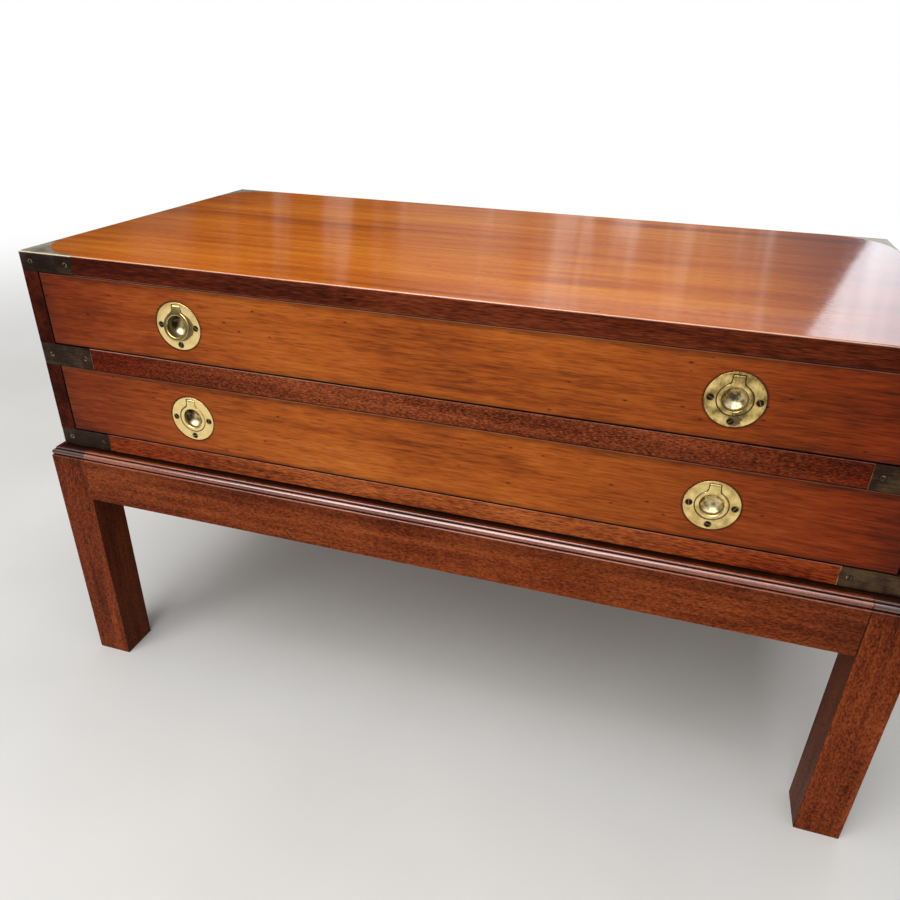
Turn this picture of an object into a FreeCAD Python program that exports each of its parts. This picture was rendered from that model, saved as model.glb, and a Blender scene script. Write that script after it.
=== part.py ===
import FreeCAD, Part
import math
import os

# Low two-drawer campaign chest on a moulded stand, in millimetres.
# Origin at the middle of the floor under the stand, +X to the viewer's right, +Y to the back, +Z up.

Vector = FreeCAD.Vector

# Chest carcass
chest_width = 915.0
chest_depth = 445.0
side_thickness = 20.0
top_thickness = 21.0
top_round = 2.0
top_veneer_thickness = 0.8
lipping_width = 12.0
drawer_opening_height = 80.5
mid_rail_height = 25.0
bottom_rail_height = 21.0
front_rail_depth = 60.0
back_rail_depth = 40.0
runner_width = 40.0
runner_end_room = 5.0
dust_panel_thickness = 6.0
dust_panel_entry = 8.0
back_thickness = 8.0
back_rebate_width = 10.0
edge_bevel = 0.6

# Carcass joints
rail_tenon_length = 8.0
rail_tenon_height = 12.0
rail_tenon_setback = 15.0
rail_tenon_back_shoulder = 8.0
tongue_height = 7.0
tongue_inset = 0.5
tongue_stop = 24.0
glue_line = 0.1
panel_play = 0.2

# Stand
stand_height = 312.0
leg_section = 46.0
leg_ease = 1.5
stand_rail_height = 66.0
stand_rail_thickness = 24.0
stand_tenon_thickness = 10.0
stand_tenon_length = 22.0
stand_tenon_top_shoulder = 16.0
stand_tenon_bottom_shoulder = 8.0
mortice_end_play = 1.0

# Moulding round the top of the stand, as distances out from the chest face and down from the stand's top
moulding_setback = 1.5
moulding_gap = 2.8
moulding_ledge = 7.8
moulding_fillet_height = 5.2
fillet_ease = 0.8
moulding_ease = 1.2
bead_inset = 0.1
bead_radius = 3.6
bead_step = 1.0

# Blocks that fix the chest to the stand
fixing_block_length = 70.0
fixing_block_width = 20.0
fixing_block_height = 22.0
fixing_block_from_end = 150.0

# Drawers
drawer_side_gap = 0.8
drawer_top_gap = 0.8
drawer_run_gap = 0.2
drawer_front_lift = 1.0
drawer_end_room = 17.0
drawer_front_thickness = 20.0
drawer_side_thickness = 10.0
drawer_side_drop = 2.0
drawer_back_thickness = 9.0
drawer_back_drop = 6.0
drawer_bottom_thickness = 5.0
drawer_bottom_entry = 5.0
drawer_bottom_height = 8.0
dovetail_lap = 6.0
dovetail_count = 3
dovetail_root_share = 0.56
dovetail_slope_share = 0.15
stop_length = 45.0
stop_width = 16.0
stop_height = 5.0
stop_from_middle = 210.0
stop_play = 0.2

# Brass corners and straps
brass_thickness = 2.0
strap_length = 66.0
corner_tip = 4.0
brass_bevel = 0.6
strap_screw_from_corner = 13.0
strap_screw_from_end = 9.0

# Flush ring pulls, with depths measured in from the drawer face
pull_from_end = 185.0
plate_diameter = 50.8
plate_thickness = 2.5
plate_wall = 1.4
boss_sides = 8
plate_play = 0.3
ring_outer_diameter = 30.0
ring_inner_diameter = 22.0
ring_thickness = 3.2
ring_gap = 0.4
tongue_plate_width = 10.0
tongue_reach = 22.5
tongue_fillet = 3.0
knuckle_diameter = 4.6
cup_depth = 5.4
cup_radius_shares = (1.0, 0.78, 0.4)
cup_depth_shares = (0.0, 0.6, 1.0)
pin_diameter = 2.0
pin_entry = 2.0
pin_running_gap = 0.05
pin_seat_gap = 0.02
pull_screw_radius_from_centre = 20.2
lifted_ring_degrees = 12.0

# Screws: the sizes of each kind, and the facets round all of them
strap_screw = dict(
    head_radius=2.6, head_height=brass_thickness, root_radius=1.4, point_radius=0.4, length=10.0
)
pull_screw = dict(head_radius=3.0, head_height=1.8, root_radius=1.5, point_radius=0.4, length=14.0)
back_screw = dict(head_radius=3.6, head_height=2.2, root_radius=1.8, point_radius=0.5, length=20.0)
stand_screw = dict(head_radius=4.4, head_height=2.8, root_radius=2.2, point_radius=0.6, length=36.0)
screw_sides = 5
screw_gap = 0.05
screw_point_play = 0.5
back_screw_from_edge = 5.0
back_screw_from_top = 30.0

# One overrun serves every cut, and one nearness counts as lying on a plane
overrun = 5.0
nearness = 0.001

# Levels and faces that the pieces share
half_width = chest_width / 2
half_depth = chest_depth / 2
front_face = -half_depth
back_face = half_depth
chest_base = stand_height
lower_floor = chest_base + bottom_rail_height
mid_rail_base = lower_floor + drawer_opening_height
upper_floor = mid_rail_base + mid_rail_height
top_underside = upper_floor + drawer_opening_height
chest_top = top_underside + top_thickness
core_top = chest_top - top_veneer_thickness
inside_half = half_width - side_thickness
back_inside = back_face - back_thickness
rail_back = front_face + front_rail_depth
stand_projection = moulding_ledge + bead_inset + bead_radius + bead_step
moulding_height = moulding_fillet_height + bead_radius + bead_radius
stand_half_width = half_width + stand_projection
stand_half_depth = half_depth + stand_projection

X_AXIS = Vector(1, 0, 0)
Y_AXIS = Vector(0, 1, 0)
Z_AXIS = Vector(0, 0, 1)
ORIGIN = Vector(0, 0, 0)


def block(x_span, y_span, z_span):
    """Box between the low and high value of each span."""
    low = Vector(x_span[0], y_span[0], z_span[0])
    high = Vector(x_span[1], y_span[1], z_span[1])
    size = high - low
    return Part.makeBox(size.x, size.y, size.z, low)


def about(middle, width):
    """Span of a width about its middle."""
    return (middle - width / 2, middle + width / 2)


def grown(span, gap):
    """Span made wider by a gap at both ends."""
    return (span[0] - gap, span[1] + gap)


def mirror_x(shape):
    return shape.mirror(ORIGIN, X_AXIS)


def mirror_y(shape):
    return shape.mirror(ORIGIN, Y_AXIS)


def moved(shape, x, y, z):
    placed = shape.copy()
    placed.translate(Vector(x, y, z))
    return placed


def outline(place, start, steps):
    """Face inside a closed outline. A step is a point for a line, or a middle and an end point for an arc."""
    edges = []
    here = start
    for step in steps:
        if isinstance(step[0], tuple):
            middle, there = step
            edges.append(Part.Arc(place(here), place(middle), place(there)).toShape())
        else:
            there = step
            edges.append(Part.LineSegment(place(here), place(there)).toShape())
        here = there
    return Part.Face(Part.Wire(edges))


def round_corner(corner, toward_start, toward_end, radius):
    """Start point, and arc step, of a quarter round on a square corner between two unit directions."""
    share = 1 - math.sqrt(0.5)
    start = tuple(c + radius * d for c, d in zip(corner, toward_start))
    end = tuple(c + radius * d for c, d in zip(corner, toward_end))
    middle = tuple(c + radius * share * (a + b) for c, a, b in zip(corner, toward_start, toward_end))
    return start, (middle, end)


def eased(shape, radius, chosen):
    """Shape with the straight edges that pass the test rounded off."""
    return shape.makeFillet(radius, [e for e in shape.Edges if chosen(e.CenterOfMass)])


def bevelled(shape, width, chosen):
    """Shape with the straight edges that pass the test cut off at a slant."""
    return shape.makeChamfer(width, [e for e in shape.Edges if chosen(e.CenterOfMass)])


def less(shape, cutters):
    """Shape without those cutters whose boxes meet it."""
    near = [c for c in cutters if c.BoundBox.intersect(shape.BoundBox)]
    return shape.cut(near) if near else shape


def faceted(stations, sides):
    """Flat-faced solid along +Y, through a regular polygon with a flat foot at each radius and depth."""
    turns = [2 * math.pi * (number + 0.5) / sides - math.pi / 2 for number in range(sides)]
    hoops = [[Vector(r * math.cos(a), depth, r * math.sin(a)) for a in turns] for r, depth in stations]
    flats = [hoops[0], hoops[-1]]
    for near, far in zip(hoops, hoops[1:]):
        flats += [[near[n - 1], near[n], far[n], far[n - 1]] for n in range(sides)]
    faces = [Part.Face(Part.makePolygon(corners + corners[:1])) for corners in flats]
    return Part.Solid(Part.Shell(faces))


def facing(shape, position, direction):
    """Shape made along +Y, turned to a direction and put at a position."""
    placed = shape.copy()
    placed.Placement = FreeCAD.Placement(position, FreeCAD.Rotation(Y_AXIS, direction))
    return placed


# Screws

def make_screw(head_radius, head_height, root_radius, point_radius, length):
    """Countersunk wood screw with its flat head at the origin and its point along +Y."""
    return faceted([(head_radius, 0), (root_radius, head_height), (point_radius, length)], screw_sides)


def make_screw_hole(head_radius, head_height, root_radius, point_radius, length):
    """Countersunk hole that clears such a screw."""
    mouth = head_radius + screw_gap
    neck = root_radius + screw_gap
    point = point_radius + screw_gap
    stations = [(mouth, -overrun), (mouth, 0), (neck, head_height), (point, length + screw_point_play)]
    return faceted(stations, screw_sides)


def screw_set(kind, places):
    """Screws of one kind, and their holes, at pairs of position and direction."""
    screw = make_screw(**kind)
    hole = make_screw_hole(**kind)
    screws = [facing(screw, position, direction) for position, direction in places]
    holes = [facing(hole, position, direction) for position, direction in places]
    return screws, holes


# Stand

def stand_profile(place, thickness, height):
    """Section of the stand's rail or leg: inner face, shadow gap, ledge, fillet, bead and outer face."""
    inner = stand_projection - thickness
    bead_centre = moulding_ledge + bead_inset
    bead_middle = (bead_centre + bead_radius, -moulding_fillet_height - bead_radius)
    ledge_corner = (moulding_ledge, -moulding_gap)
    ledge_start, ledge_round = round_corner(ledge_corner, (-1, 0), (0, -1), fillet_ease)
    face_corner = (stand_projection, -moulding_height)
    face_start, face_round = round_corner(face_corner, (-1, 0), (0, -1), moulding_ease)
    steps = [
        (-moulding_setback, 0),
        (-moulding_setback, -moulding_gap),
        ledge_start,
        ledge_round,
        (moulding_ledge, -moulding_fillet_height),
        (bead_centre, -moulding_fillet_height),
        (bead_middle, (bead_centre, -moulding_height)),
        face_start,
        face_round,
        (stand_projection, -height),
        (inner, -height),
        (inner, 0),
    ]
    return outline(place, (inner, 0), steps)


def across_front(x):
    """Places a section point, out and up, on the front of the stand."""
    return lambda p: Vector(x, front_face - p[0], stand_height + p[1])


def across_left(y):
    """Places a section point, out and up, on the left of the stand."""
    return lambda p: Vector(-half_width - p[0], y, stand_height + p[1])


leg_x = (-stand_half_width, -stand_half_width + leg_section)
leg_y = (-stand_half_depth, -stand_half_depth + leg_section)
stand_tenon_z = (
    stand_height - stand_rail_height + stand_tenon_bottom_shoulder,
    stand_height - stand_tenon_top_shoulder,
)
stand_tenon_offset = stand_rail_thickness / 2
front_tenon_y = about(-stand_half_depth + stand_tenon_offset, stand_tenon_thickness)
side_tenon_x = about(-stand_half_width + stand_tenon_offset, stand_tenon_thickness)


def make_leg():
    """Front left leg: the moulding is worked along both outer faces and meets in a mitre."""
    front_section = stand_profile(across_front(leg_x[0]), leg_section, stand_height)
    left_section = stand_profile(across_left(leg_y[0]), leg_section, stand_height)
    along_x = front_section.extrude(Vector(leg_section, 0, 0))
    along_y = left_section.extrude(Vector(0, leg_section, 0))
    outer = (leg_x[0], leg_y[0])
    inner = (leg_x[1], leg_y[1])

    def half(section, third):
        wedge = outline(lambda p: Vector(p[0], p[1], 0), outer, [third, inner, outer])
        return section.common(wedge.extrude(Vector(0, 0, stand_height)))

    leg = half(along_x, (leg_x[1], leg_y[0])).fuse(half(along_y, (leg_x[0], leg_y[1]))).removeSplitter()
    post = block(leg_x, leg_y, (0, stand_height))
    leg = leg.common(eased(post, leg_ease, on_outer_edges(("x", leg_x[0]), ("y", leg_y[0]))))
    reach = stand_tenon_length + mortice_end_play
    front_mortice = block(
        (leg_x[1] - reach, leg_x[1] + overrun),
        grown(front_tenon_y, glue_line),
        grown(stand_tenon_z, glue_line),
    )
    side_mortice = block(
        grown(side_tenon_x, glue_line),
        (leg_y[1] - reach, leg_y[1] + overrun),
        grown(stand_tenon_z, glue_line),
    )
    return leg.cut([front_mortice, side_mortice])


def make_front_stand_rail():
    length = leg_x[1] + leg_x[1]
    section = stand_profile(across_front(leg_x[1]), stand_rail_thickness, stand_rail_height)
    rail = section.extrude(Vector(-length, 0, 0))
    x_span = (leg_x[1] - stand_tenon_length, -leg_x[1] + stand_tenon_length)
    tenon = block(x_span, front_tenon_y, stand_tenon_z)
    return rail.fuse(tenon).removeSplitter()


def make_left_stand_rail():
    length = leg_y[1] + leg_y[1]
    section = stand_profile(across_left(leg_y[1]), stand_rail_thickness, stand_rail_height)
    rail = section.extrude(Vector(0, -length, 0))
    y_span = (leg_y[1] - stand_tenon_length, -leg_y[1] + stand_tenon_length)
    tenon = block(side_tenon_x, y_span, stand_tenon_z)
    return rail.fuse(tenon).removeSplitter()


block_y = -stand_half_depth + stand_rail_thickness
block_x = half_width - fixing_block_from_end


def make_fixing_block():
    """Glue block against the inside of the front rail, level with the stand's top."""
    return block(
        about(-block_x, fixing_block_length),
        (block_y, block_y + fixing_block_width),
        (stand_height - fixing_block_height, stand_height),
    )


# Brass let in flush at the corners, made at the front left and mirrored to the rest

def on_outer_edges(*planes):
    """Test for edges that lie on two of the planes, each an axis and a value."""
    def chosen(middle):
        met = [abs(getattr(middle, axis) - value) < nearness for axis, value in planes]
        return sum(met) >= 2
    return chosen


def make_whole_top():
    """The top as one board, rounded over along its upper edges and bevelled along its lower ones."""
    board = block((-half_width, half_width), (front_face, back_face), (top_underside, chest_top))
    rim = (("x", -half_width), ("x", half_width), ("y", front_face), ("y", back_face))

    def level(z):
        def chosen(middle):
            return abs(middle.z - z) < nearness and on_outer_edges(("z", z), *rim)(middle)
        return chosen

    return bevelled(eased(board, top_round, level(chest_top)), edge_bevel, level(top_underside))


whole_top = make_whole_top()


def make_corner_envelope():
    """Three faces of brass round a top corner, the top face hollowed to a quarter circle."""
    outer = block(
        (-half_width, -half_width + strap_length),
        (front_face, front_face + strap_length),
        (top_underside, chest_top),
    )
    inner = block(
        (-half_width + brass_thickness, -half_width + strap_length + overrun),
        (front_face + brass_thickness, front_face + strap_length + overrun),
        (top_underside - overrun, chest_top - brass_thickness),
    )
    hollow = Part.makeCylinder(
        strap_length - corner_tip,
        brass_thickness + overrun + overrun,
        Vector(-half_width + strap_length, front_face + strap_length, chest_top - brass_thickness - overrun),
    )
    return outer.cut([inner, hollow])


def make_strap_envelope(z_span):
    """Strap bent square round a front corner."""
    outer = block(
        (-half_width, -half_width + strap_length),
        (front_face, front_face + strap_length),
        z_span,
    )
    inner = block(
        (-half_width + brass_thickness, -half_width + strap_length + overrun),
        (front_face + brass_thickness, front_face + strap_length + overrun),
        grown(z_span, overrun),
    )
    return outer.cut(inner)


def strap_screw_places(z):
    """Two screws through the front leaf and two through the side leaf of a corner."""
    along = (strap_screw_from_corner, strap_length - strap_screw_from_end)
    front = [(Vector(-half_width + d, front_face, z), Y_AXIS) for d in along]
    side = [(Vector(-half_width, front_face + d, z), X_AXIS) for d in along]
    return front + side


mid_strap_z = (mid_rail_base, upper_floor)
bottom_strap_z = (chest_base, lower_floor)
corner_edge = on_outer_edges(("x", -half_width), ("y", front_face))
corner_names = (("front_left", 1, 1), ("front_right", -1, 1), ("back_left", 1, -1), ("back_right", -1, -1))


def to_corner(shape, x_way, y_way):
    """A front left piece, mirrored to the corner that the two ways give."""
    placed = shape if x_way > 0 else mirror_x(shape)
    return placed if y_way > 0 else mirror_y(placed)


strap_levels = (
    ("top_corner", make_corner_envelope(), (top_underside + chest_top) / 2),
    ("mid_strap", make_strap_envelope(mid_strap_z), sum(mid_strap_z) / 2),
    ("bottom_strap", make_strap_envelope(bottom_strap_z), sum(bottom_strap_z) / 2),
)
brass_pieces = {}
brass_seats = []
strap_screws = []
strap_holes = []
for level, envelope, screw_z in strap_levels:
    screws, holes = screw_set(strap_screw, strap_screw_places(screw_z))
    strap = bevelled(envelope, brass_bevel, corner_edge).cut(holes)
    if level == "top_corner":
        strap = strap.common(whole_top)
    for corner, x_way, y_way in corner_names:
        brass_pieces[level + "_" + corner] = to_corner(strap, x_way, y_way)
        brass_seats.append(to_corner(envelope, x_way, y_way))
        strap_screws += [to_corner(s, x_way, y_way) for s in screws]
        strap_holes += [to_corner(h, x_way, y_way) for h in holes]
brass_cuts = brass_seats + strap_holes


# Carcass

tongue_x = (-half_width + lipping_width + tongue_inset, -inside_half - tongue_inset)
tongue_y = (front_face + tongue_stop, back_inside - tongue_stop)
rail_levels = {"mid": (mid_rail_base, upper_floor), "bottom": (chest_base, lower_floor)}


def rail_tenon(level, y_span, gap):
    """Stub tenons at both ends of a rail between the sides, or their mortices with a gap."""
    reach = inside_half + rail_tenon_length
    z_span = about(sum(rail_levels[level]) / 2, rail_tenon_height)
    return block((-reach - gap, reach + gap), grown(y_span, gap), grown(z_span, gap))


front_tenon_span = (front_face + rail_tenon_setback, rail_back - rail_tenon_back_shoulder)
back_tenon_span = (
    back_inside - back_rail_depth + rail_tenon_back_shoulder,
    back_inside - rail_tenon_back_shoulder,
)
rail_tenons = (("mid", front_tenon_span), ("bottom", front_tenon_span), ("bottom", back_tenon_span))


def make_side():
    """Left side: tongued into the top, morticed for the rails, rebated for the back."""
    side = block((-half_width, -inside_half), (front_face, back_face), (chest_base, top_underside))
    outer_edges = on_outer_edges(("x", -half_width), ("y", front_face), ("y", back_face))
    side = bevelled(side, edge_bevel, outer_edges)
    tongue = block(tongue_x, tongue_y, (top_underside - tongue_height, top_underside + tongue_height))
    side = side.fuse(tongue).removeSplitter()
    rebate = block(
        (-half_width + back_rebate_width, -inside_half + overrun),
        (back_inside, back_face + overrun),
        (chest_base - overrun, top_underside + overrun),
    )
    mortices = [rail_tenon(level, span, glue_line) for level, span in rail_tenons]
    return less(side.cut([rebate] + mortices), brass_cuts + back_holes)


def make_front_rail(level):
    """Front rail between the drawers or under them, grooved at the back for its panel."""
    z_span = rail_levels[level]
    rail = block((-inside_half, inside_half), (front_face, rail_back), z_span)
    arrises = on_outer_edges(("y", front_face), ("z", z_span[0]), ("z", z_span[1]))
    rail = bevelled(rail, edge_bevel, arrises)
    rail = rail.fuse(rail_tenon(level, front_tenon_span, 0)).removeSplitter()
    return less(rail.cut(panel_space(level)), brass_cuts + stand_holes)


def make_bottom_back_rail():
    y_span = (back_inside - back_rail_depth, back_inside)
    rail = block((-inside_half, inside_half), y_span, rail_levels["bottom"])
    rail = rail.fuse(rail_tenon("bottom", back_tenon_span, 0)).removeSplitter()
    return less(rail.cut(panel_space("bottom")), brass_cuts + back_holes + stand_holes)


mid_end = back_inside - runner_end_room
runner_end = {"mid": mid_end, "bottom": back_inside - back_rail_depth}
panel_end = {"mid": mid_end, "bottom": back_inside - back_rail_depth + dust_panel_entry}


def panel_span(level):
    """Spans of the thin panel held in the grooves of the rails and runners at a level."""
    x_reach = inside_half - runner_width + dust_panel_entry
    return (
        (-x_reach, x_reach),
        (rail_back - dust_panel_entry, panel_end[level]),
        about(sum(rail_levels[level]) / 2, dust_panel_thickness),
    )


def panel_space(level):
    """Room for that panel, with its play."""
    return block(*(grown(span, panel_play) for span in panel_span(level)))


def make_runners(level):
    """Runners that the drawer slides on, along both sides behind the front rail."""
    x_span = (-inside_half, -inside_half + runner_width)
    left = block(x_span, (rail_back, runner_end[level]), rail_levels[level]).cut(panel_space(level))
    return [left, mirror_x(left)]


def make_back_panel():
    reach = half_width - back_rebate_width - panel_play
    panel = block((-reach, reach), (back_inside, back_face), (chest_base, top_underside))
    return less(panel, brass_cuts + back_holes)


def make_core():
    """Core of the top inside its lippings, grooved below for the sides' tongues."""
    reach_x = half_width - lipping_width
    reach_y = half_depth - lipping_width
    core = block((-reach_x, reach_x), (-reach_y, reach_y), (top_underside, core_top))
    groove = block(
        grown(tongue_x, glue_line),
        grown(tongue_y, glue_line),
        (top_underside - overrun, top_underside + tongue_height + panel_play),
    )
    return less(core.cut([groove, mirror_x(groove)]), brass_cuts)


def make_lippings():
    """Edge strips of the top, mitred at the corners under the brass."""
    def strip(length, width):
        ends = (-length / 2, 0), (length / 2, 0)
        inner = (length / 2 - width, width), (-length / 2 + width, width)
        face = outline(lambda p: Vector(p[0], p[1], top_underside), ends[0], [ends[1], *inner, ends[0]])
        return face.extrude(Vector(0, 0, core_top - top_underside))

    front = moved(strip(chest_width, lipping_width), 0, front_face, 0)
    left = strip(chest_depth, lipping_width)
    left.rotate(ORIGIN, Z_AXIS, -90)
    left = moved(left, -half_width, 0, 0)
    strips = [front, mirror_y(front), left, mirror_x(left)]
    return [less(s.common(whole_top), brass_cuts) for s in strips]


def make_top_veneer():
    """Sheet over core and lippings, rounded over with the lippings."""
    sheet = block((-half_width, half_width), (front_face, back_face), (core_top, chest_top))
    return less(sheet.common(whole_top), brass_seats)


def make_stop():
    """Drawer stop on the left of the bottom rail, just behind the drawer front."""
    stop_face = front_face + drawer_front_thickness + stop_play
    return block(
        about(-stop_from_middle, stop_length),
        (stop_face, stop_face + stop_width),
        (lower_floor, lower_floor + stop_height),
    )


level_step = upper_floor - lower_floor
back_screw_z = (chest_base + bottom_rail_height / 2, top_underside - back_screw_from_top)
back_screw_x = half_width - back_rebate_width - back_screw_from_edge
rail_screw_x = (-inside_half / 2, 0, inside_half / 2)
back_screw_places = [
    (Vector(side * back_screw_x, back_face, z), -Y_AXIS)
    for side in (-1, 1)
    for z in (sum(back_screw_z) / 2, back_screw_z[1])
]
back_screw_places += [(Vector(x, back_face, back_screw_z[0]), -Y_AXIS) for x in rail_screw_x]
back_screws, back_holes = screw_set(back_screw, back_screw_places)
stand_screw_y = block_y + fixing_block_width / 2
stand_screw_places = [
    (Vector(x, y, stand_height - fixing_block_height), Z_AXIS)
    for x in (-block_x, block_x)
    for y in (stand_screw_y, -stand_screw_y)
]
stand_screws, stand_holes = screw_set(stand_screw, stand_screw_places)


# Flush ring pull, made at the origin with +Y into the drawer front

ring_outer = ring_outer_diameter / 2
ring_inner = ring_inner_diameter / 2
knuckle_radius = knuckle_diameter / 2
pin_height = tongue_reach - knuckle_radius
pin_depth = knuckle_radius
pocket_depth = ring_thickness + ring_gap
slot_depth = knuckle_diameter + ring_gap
boss_depth = slot_depth + plate_wall
boss_radius = (ring_outer + ring_gap + plate_wall) / math.cos(math.pi / boss_sides)
cup_base = pocket_depth + cup_depth
cup_boss_radius = (ring_inner + plate_wall) / math.cos(math.pi / boss_sides)
cup_boss_depth = cup_base + plate_wall
cheek_half = tongue_plate_width / 2 + ring_gap + pin_entry + plate_wall / 2
cheek_top = tongue_reach + ring_gap + plate_wall / 2
plate_radius = plate_diameter / 2
pin_length = tongue_plate_width + 2 * (ring_gap + pin_entry)
pin_seat_radius = (pin_diameter / 2 + pin_seat_gap) / math.cos(math.pi / boss_sides)


def tongue_plan(gap):
    """Face of the tongue seen from the front: parallel sides that sweep into the ring, grown by a gap."""
    half = tongue_plate_width / 2 + gap
    radius = ring_outer + gap
    fillet = tongue_fillet - gap
    across = half + fillet
    up = math.sqrt((radius + fillet) ** 2 - across ** 2)
    foot_share = radius / (radius + fillet)
    foot = (across * foot_share, up * foot_share)
    turn = math.atan2(up - foot[1], across - foot[0]) / 2
    bend = (across - fillet * math.cos(turn), up - fillet * math.sin(turn))
    top = tongue_reach + gap
    mirrored_foot = (-foot[0], foot[1])
    steps = [
        (half, up),
        (bend, foot),
        mirrored_foot,
        ((-bend[0], bend[1]), (-half, up)),
        (-half, top),
        (half, top),
    ]
    return outline(lambda p: Vector(p[0], 0, p[1]), (half, top), steps)


def make_ring():
    """Flush ring with its tongue and rolled knuckle, lying in the plate."""
    disc = Part.makeCylinder(ring_outer, ring_thickness, ORIGIN, Y_AXIS)
    hole_start = Vector(0, -overrun, 0)
    finger_hole = Part.makeCylinder(ring_inner, ring_thickness + overrun + overrun, hole_start, Y_AXIS)
    hoop = disc.cut(finger_hole)
    back_turn = math.asin((ring_thickness - pin_depth) / knuckle_radius)
    leave = (ring_thickness, pin_height - knuckle_radius * math.cos(back_turn))
    end = ((knuckle_radius, pin_height + knuckle_radius), (knuckle_diameter, pin_height))
    under = math.pi / 4 - back_turn / 2
    roll = (pin_depth + knuckle_radius * math.cos(under), pin_height - knuckle_radius * math.sin(under))
    side = outline(
        lambda p: Vector(-ring_outer, p[0], p[1]),
        (0, 0),
        [(0, pin_height), end, (roll, leave), (ring_thickness, 0), (0, 0)],
    )
    strip = side.extrude(Vector(ring_outer_diameter, 0, 0))
    tongue = strip.common(tongue_plan(0).extrude(Vector(0, slot_depth, 0)))
    eye = Part.makeCylinder(
        pin_diameter / 2 + pin_running_gap,
        ring_outer_diameter,
        Vector(-ring_outer, pin_depth, pin_height),
        X_AXIS,
    )
    return hoop.fuse(tongue).cut(eye).removeSplitter()


pin_start = Vector(-pin_length / 2, pin_depth, pin_height)


def make_pin():
    return Part.makeCylinder(pin_diameter / 2, pin_length, pin_start, X_AXIS)


def pull_screw_places():
    """Screws at three, six and nine o'clock."""
    r = pull_screw_radius_from_centre
    return [(Vector(x, 0, z), Y_AXIS) for x, z in ((r, 0), (0, -r), (-r, 0))]


def make_plate(holes):
    """Round plate with the ring's recess, the finger cup, the tongue's slot and the pin's cheeks."""
    disc = Part.makeCylinder(plate_radius, plate_thickness, ORIGIN, Y_AXIS)
    bosses = [
        faceted([(boss_radius, plate_thickness / 2), (boss_radius, boss_depth)], boss_sides),
        faceted([(cup_boss_radius, plate_thickness / 2), (cup_boss_radius, cup_boss_depth)], boss_sides),
        block((-cheek_half, cheek_half), (plate_thickness / 2, boss_depth), (ring_outer, cheek_top)),
    ]
    recess = Part.makeCylinder(ring_outer + ring_gap, pocket_depth + overrun, Vector(0, -overrun, 0), Y_AXIS)
    shares = zip(cup_radius_shares, cup_depth_shares)
    slopes = [(ring_inner * r, pocket_depth + cup_depth * d) for r, d in shares]
    corners = [(ring_inner, pocket_depth - ring_gap), *slopes, (0, cup_base), (0, pocket_depth - ring_gap)]
    half_cup = outline(lambda p: Vector(p[0], p[1], 0), corners[-1], corners)
    cup = half_cup.revolve(ORIGIN, Y_AXIS, 360)
    slot = moved(tongue_plan(ring_gap).extrude(Vector(0, slot_depth + overrun, 0)), 0, -overrun, 0)
    pin_seat = faceted([(pin_seat_radius, 0), (pin_seat_radius, pin_length)], boss_sides)
    pin_hole = facing(pin_seat, pin_start, X_AXIS)
    return disc.fuse(bosses).cut([recess, cup, slot, pin_hole] + holes).removeSplitter()


def make_pull_pocket():
    """Stepped hole in the drawer front that the plate is let into."""
    def room(radius, depth):
        wide = radius + plate_play
        return faceted([(wide, -overrun), (wide, depth + plate_play)], boss_sides)

    seat_start = Vector(0, -overrun, 0)
    seat = Part.makeCylinder(plate_radius + plate_play, plate_thickness + overrun, seat_start, Y_AXIS)
    cheek_room = block(
        (-cheek_half - plate_play, cheek_half + plate_play),
        (0, boss_depth + plate_play),
        (0, cheek_top + plate_play),
    )
    return seat.fuse([room(boss_radius, boss_depth), room(cup_boss_radius, cup_boss_depth), cheek_room])


# Drawer, made for the lower opening and raised for the upper one

drawer_half = inside_half - drawer_side_gap
drawer_foot = lower_floor + drawer_run_gap
drawer_head = lower_floor + drawer_opening_height - drawer_top_gap
drawer_side_head = drawer_head - drawer_side_drop
drawer_end = back_inside - drawer_end_room
front_back = front_face + drawer_front_thickness
drawer_back_inside = drawer_end - drawer_back_thickness
groove_z = (drawer_foot + drawer_bottom_height, drawer_foot + drawer_bottom_height + drawer_bottom_thickness)
pull_x = half_width - pull_from_end
pull_z = (drawer_foot + drawer_head) / 2


def dovetails(root, tip, gap):
    """Tails of the left drawer side from their root to their wider tip, one above another."""
    pitch = (drawer_side_head - drawer_foot) / dovetail_count
    root_half = pitch * dovetail_root_share / 2 + gap
    tip_half = root_half + abs(tip - root) * dovetail_slope_share
    tails = []
    for number in range(dovetail_count):
        z = drawer_foot + pitch * (number + 0.5)
        corners = [(root, z + root_half), (tip, z + tip_half), (tip, z - tip_half), (root, z - root_half)]
        face = outline(lambda p: Vector(-drawer_half, p[0], p[1]), corners[-1], corners)
        tails.append(face.extrude(Vector(drawer_side_thickness + gap, 0, 0)))
    return tails


front_tails = (front_back, front_face + dovetail_lap)
back_tails = (drawer_back_inside, drawer_end)


def make_bottom_space(gap):
    """The drawer's bottom board, let into the front and the sides and running out under the back."""
    reach = drawer_half - drawer_side_thickness + drawer_bottom_entry + gap
    return block(
        (-reach, reach),
        (front_back - drawer_bottom_entry - gap, drawer_end),
        grown(groove_z, gap),
    )


def make_drawer_side():
    """Left side with tails at both ends and a groove for the bottom."""
    inner_face = -drawer_half + drawer_side_thickness
    y_span = (front_back, drawer_back_inside)
    board = block((-drawer_half, inner_face), y_span, (drawer_foot, drawer_side_head))
    tails = dovetails(*front_tails, 0) + dovetails(*back_tails, 0)
    side = board.fuse(tails).removeSplitter()
    return side.cut(make_bottom_space(panel_play))


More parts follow.
